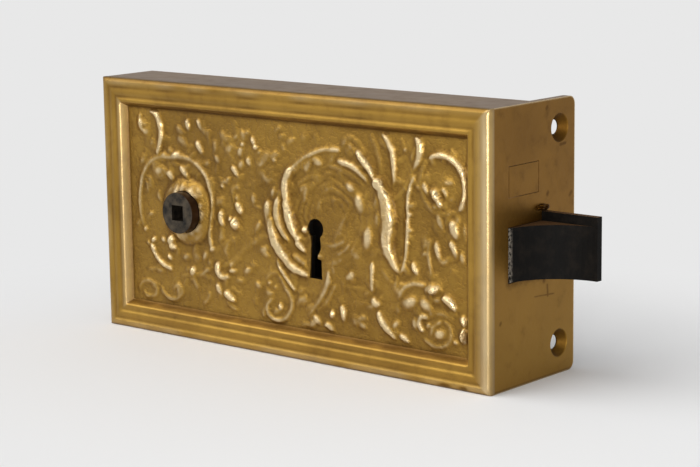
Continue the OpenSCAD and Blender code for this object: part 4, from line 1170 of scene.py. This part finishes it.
def turned_finish(name, dark, light, brown):
    """Turned steel gone dark: fine rings about the hub's axis, and brown oil on its rim."""
    material, tree, shader = new_material(name)
    where = object_place(tree)
    x, _, z = place_of(tree)
    radius = hypotenuse(tree, calc(tree, "SUBTRACT", x, float(HUB_X)),
                        calc(tree, "SUBTRACT", z, float(HUB_Z)))
    ring_pitch = 0.35
    rings = calc(tree, "SINE", calc(tree, "MULTIPLY", radius, 2 * math.pi / ring_pitch))
    blots = noise(tree, where, 2.5, 4, 0.6)
    tone = mixed(tree, ramp(tree, blots, 0.35, 0.7), linear(dark), linear(light))
    oiled = calc(tree, "MULTIPLY", ramp(tree, radius, 6.2, 6.38), 0.75)
    tone = mixed(tree, oiled, tone, linear(brown))
    rough = calc(tree, "MULTIPLY_ADD", blots, 0.2, 0.3)
    normal = bumped(tree, blots, 0.05, 0.5, bumped(tree, rings, 0.01, 0.4))
    shade(tree, shader, tone, 0.8, rough, normal)
    return material


def steel_finish(name, base, roughness):
    """Filed steel of the small fittings: faint scratches along the lock."""
    material, tree, shader = new_material(name)
    where = object_place(tree)
    long = add_node(tree, "ShaderNodeMapping", {"Vector": where, "Scale": (0.2, 1, 1)})
    scratches = noise(tree, long.outputs["Vector"], 0.4, 2, 0.6)
    tone = mixed(tree, ramp(tree, scratches, 0.3, 0.8), linear(base), linear("2A2622"))
    rough = calc(tree, "MULTIPLY_ADD", scratches, 0.2, roughness)
    shade(tree, shader, tone, 1.0, rough, bumped(tree, scratches, 0.02, 0.5))
    return material


def floor_finish():
    """Matt pale card that keeps the lock's shadow, and farther off a card evenly lit: there it
    shines with the same paleness to the camera, the glossy and the diffuse rays."""
    material, tree, shader = new_material("pale_card")
    plug(tree, shader, {"Base Color": colours().floor, "Roughness": 0.9,
                        "Specular IOR Level": 0.1})
    where = object_place(tree)
    off = add_node(tree, "ShaderNodeVectorMath", {0: where, 1: FLOOR_MIDDLE}, operation="SUBTRACT")
    flat = add_node(tree, "ShaderNodeVectorMath", {0: off.outputs["Vector"], 1: (1, 1.1, 0)},
                    operation="MULTIPLY").outputs["Vector"]
    far = add_node(tree, "ShaderNodeVectorMath", {0: flat}, operation="LENGTH").outputs["Value"]
    share = add_node(tree, "ShaderNodeMapRange", {"Value": far, "From Min": FLOOR_NEAR,
                                                  "From Max": FLOOR_FAR},
                     interpolation_type="SMOOTHSTEP").outputs["Result"]
    even = add_node(tree, "ShaderNodeEmission", {"Color": linear(ROOM_PALE), "Strength": 1.0})
    blend = add_node(tree, "ShaderNodeMixShader", {0: share, 1: shader.outputs["BSDF"],
                                                   2: even.outputs["Emission"]})
    output = next(n for n in tree.nodes if n.bl_idname == "ShaderNodeOutputMaterial")
    plug(tree, output, {"Surface": blend.outputs["Shader"]})
    return material


def give(nodes, material):
    """Gives CAD nodes one material each, in their object's own slots."""
    for node in nodes:
        piece = frame["nodes"][node]
        if not piece.data.materials:
            piece.data.materials.append(material)
        for slot in piece.material_slots:
            slot.link = "OBJECT"
            slot.material = material


# ------------------------------------------------------------------ operators


class LOCK_OT_front_relief(bpy.types.Operator):
    """Adds the cast relief over the sunk front panel"""

    bl_idname = "lock.front_relief"
    bl_label = "Front relief"

    def execute(self, context):
        points, faces, (hollow, wear_and_highlight) = relief_surface()
        piece = new_piece("front_relief", points, faces, "case", 55)
        point_values(piece, "hollow", hollow)
        point_values(piece, "wear_and_highlight", wear_and_highlight)
        gilt = brass_finish("relief_gilt_brass", colours().brass, from_mesh=True, tooled=True)
        piece.data.materials.append(gilt)
        return {"FINISHED"}


class LOCK_OT_front_moulding(bpy.types.Operator):
    """Adds the finished skin of the front moulding"""

    bl_idname = "lock.front_moulding"
    bl_label = "Front moulding"

    def execute(self, context):
        piece = moulding_piece()
        gilt = brass_finish("moulding_gilt_brass", colours().brass, from_mesh=True)
        piece.data.materials.append(gilt)
        return {"FINISHED"}


class LOCK_OT_forend_wear(bpy.types.Operator):
    """Adds the dirt round the dead bolt and the burr at the latch's mortice"""

    bl_idname = "lock.forend_wear"
    bl_label = "Forend wear"

    def execute(self, context):
        filling = gap_filling()
        filling.data.materials.append(dirt_finish())
        burr = mortice_burr()
        torn = brass_finish("torn_brass", colours().patina_and_shade, edge_wear=False)
        burr.data.materials.append(torn)
        return {"FINISHED"}


class LOCK_OT_case_finish(bpy.types.Operator):
    """Finishes the casting's sides and the dead bolt"""

    bl_idname = "lock.case_finish"
    bl_label = "Case finish"

    def execute(self, context):
        tarnish = colours().tarnish
        # the sides take the darker tarnish colour, partly as painted shade
        give(["case"], brass_finish("tarnished_cast_brass", tarnish))
        give(["dead_bolt"], brass_finish("filed_bolt_brass", tarnish, edge_wear=False))
        give(["stud_washers", "detent_spring_washer"],
             steel_finish("turned_washer_brass", "A8843F", 0.3))
        return {"FINISHED"}


class LOCK_OT_iron_finish(bpy.types.Operator):
    """Finishes the latch, the hub and the back cap"""

    bl_idname = "lock.iron_finish"
    bl_label = "Iron finish"

    def execute(self, context):
        give(["latch_bolt"], latch_finish())
        give(["hub"], turned_finish("oiled_turned_steel", "24211D", "544A3C", "3A2416"))
        give(["back_cap", "back_ward", "bridge_ward"],
             iron_finish("sheet_iron", "2E2925", "453E38", 0.45, 0.7, rust=0.5))
        return {"FINISHED"}


class LOCK_OT_fitting_finish(bpy.types.Operator):
    """Finishes the screws, studs, pillars and springs"""

    bl_idname = "lock.fitting_finish"
    bl_label = "Fitting finish"

    def execute(self, context):
        give(["cap_screws", "latch_peg", "latch_guide_studs", "latch_spring_post",
              "dead_bolt_studs", "detent_spring_screw", "ward_rivets", "bridge_pillars"],
             steel_finish("aged_steel", "6E6860", 0.35))
        give(["latch_spring", "detent_spring"], steel_finish("spring_steel", "5A6068", 0.25))
        return {"FINISHED"}


class LOCK_OT_stage(bpy.types.Operator):
    """Adds the floor, the lamps, the world and the camera"""

    bl_idname = "lock.stage"
    bl_label = "Stage"

    def execute(self, context):
        add_floor()
        add_lamps()
        add_camera()
        return {"FINISHED"}


# ------------------------------------------------------------------ stage

# Middle of the part of the floor that takes light and shadow, in metres, and the distances from
# it between which that gives way to the evenly lit part
FLOOR_MIDDLE = (0.01, -0.01, 0.0)
FLOOR_NEAR, FLOOR_FAR = 0.11, 0.19
FLOOR_HALF = 6.0
ROOM_PALE, ROOM_GREY = "E8E8E8", "A2A2A2"
SUN_PLACE, SUN_STRENGTH, SUN_WIDTH = (-0.62, -0.85, 1.2), 2.08, 64
BOX_PLACE, BOX_TARGET, BOX_SIZE, BOX_WATTS = (0.5, -0.62, 0.12), (0, 0, 0.04), 0.3, 3.1
# The camera: degrees to the right of the front, above level and of lean; its distance and the
# point it looks at (along, up), in case lengths; and its lens on a 36 mm sensor
CAMERA_TURN, CAMERA_RISE, CAMERA_LEAN = 40.34, 10.39, -0.78
CAMERA_DISTANCE, CAMERA_TARGET = 3.932, (0.672, 0.267)
CAMERA_LENS = 106.54


def add_floor():
    """A flat square under the lock, far wider than the view."""
    mesh = bpy.data.meshes.new("floor")
    corners = [(sx * FLOOR_HALF, sy * FLOOR_HALF, 0)
               for sx, sy in ((-1, -1), (1, -1), (1, 1), (-1, 1))]
    mesh.from_pydata(corners, [], [(0, 1, 2, 3)])
    floor = bpy.data.objects.new("floor", mesh)
    bpy.context.scene.collection.objects.link(floor)
    floor.data.materials.append(floor_finish())


def aimed(name, data, place, target):
    """An object at a place, whose -Z looks at a target."""
    thing = bpy.data.objects.new(name, data)
    thing.location = place
    thing.rotation_euler = (Vector(target) - Vector(place)).to_track_quat("-Z", "Y").to_euler()
    bpy.context.scene.collection.objects.link(thing)
    return thing


def add_lamps():
    """A wide sun from the front left for the floor and its soft shadow, a soft box beside the
    camera that lights the ornament's right-hand slopes, and a pale room, greyer overhead."""
    sun = bpy.data.lights.new("window_sun", "SUN")
    sun.energy = SUN_STRENGTH
    sun.angle = math.radians(SUN_WIDTH)
    aimed("window_sun", sun, SUN_PLACE, (0, 0, 0))
    box = bpy.data.lights.new("soft_box", "AREA")
    box.shape = "DISK"
    box.size = BOX_SIZE
    box.energy = BOX_WATTS
    aimed("soft_box", box, BOX_PLACE, BOX_TARGET)
    world = bpy.data.worlds.new("grey_room")
    world.use_nodes = True
    tree = world.node_tree
    height = add_node(tree, "ShaderNodeSeparateXYZ", {"Vector": object_place(tree)}).outputs[2]
    tone = mixed(tree, ramp(tree, height, 0.05, 0.6), linear(ROOM_PALE), linear(ROOM_GREY))
    plug(tree, tree.nodes["Background"], {"Color": tone})
    bpy.context.scene.world = world


def add_camera():
    """A long lens in front of the lock, to its right and a little above."""
    turn, rise, lean = (math.radians(v) for v in (CAMERA_TURN, CAMERA_RISE, CAMERA_LEAN))
    distance = CAMERA_DISTANCE * CASE_LENGTH
    along, up_by = (share * CASE_LENGTH for share in CAMERA_TARGET)
    target = Vector(in_frame(along, 0, up_by))
    level = math.cos(rise)
    back = Vector((math.sin(turn) * level, -math.cos(turn) * level, math.sin(rise)))
    data = bpy.data.cameras.new("camera")
    data.sensor_width = 36
    data.lens = CAMERA_LENS
    data.clip_start, data.clip_end = 0.01, 30
    camera = bpy.data.objects.new("camera", data)
    right = (-back).cross(Vector((0, 0, 1))).normalized()
    up = right.cross(-back)
    leaned = right * math.cos(lean) + up * math.sin(lean)
    upright = up * math.cos(lean) - right * math.sin(lean)
    turned = Matrix((leaned, upright, back)).transposed().to_4x4()
    turned.translation = target + back * distance * MM
    camera.matrix_world = turned
    bpy.context.scene.collection.objects.link(camera)
    bpy.context.scene.camera = camera
    bpy.context.scene.view_settings.view_transform = "Standard"


# ------------------------------------------------------------------ panel and registration

STEPS = (LOCK_OT_front_relief, LOCK_OT_front_moulding, LOCK_OT_forend_wear, LOCK_OT_case_finish,
         LOCK_OT_iron_finish, LOCK_OT_fitting_finish, LOCK_OT_stage)


class LOCK_PT_panel(bpy.types.Panel):
    """Lists the settings and the steps"""

    bl_idname = "LOCK_PT_panel"
    bl_label = "Rim lock"
    bl_space_type = "VIEW_3D"
    bl_region_type = "UI"
    bl_category = "Rim lock"

    def draw(self, context):
        for group in (context.scene.lock_sizes, context.scene.lock_colours):
            box = self.layout.box()
            for name in group.__annotations__:
                box.prop(group, name)
        for step in STEPS:
            self.layout.operator(step.bl_idname)


CLASSES = (LockSizes, LockColours, *STEPS, LOCK_PT_panel)


def register():
    for cls in CLASSES:
        bpy.utils.register_class(cls)
    bpy.types.Scene.lock_sizes = PointerProperty(type=LockSizes)
    bpy.types.Scene.lock_colours = PointerProperty(type=LockColours)


def unregister():
    del bpy.types.Scene.lock_colours
    del bpy.types.Scene.lock_sizes
    for cls in reversed(CLASSES):
        bpy.utils.unregister_class(cls)


def main():
    """Makes every piece in order."""
    register()
    bpy.ops.lock.front_relief()
    bpy.ops.lock.front_moulding()
    bpy.ops.lock.forend_wear()
    bpy.ops.lock.case_finish()
    bpy.ops.lock.iron_finish()
    bpy.ops.lock.fitting_finish()
    bpy.ops.lock.stage()


if __name__ == "__main__":
    main()
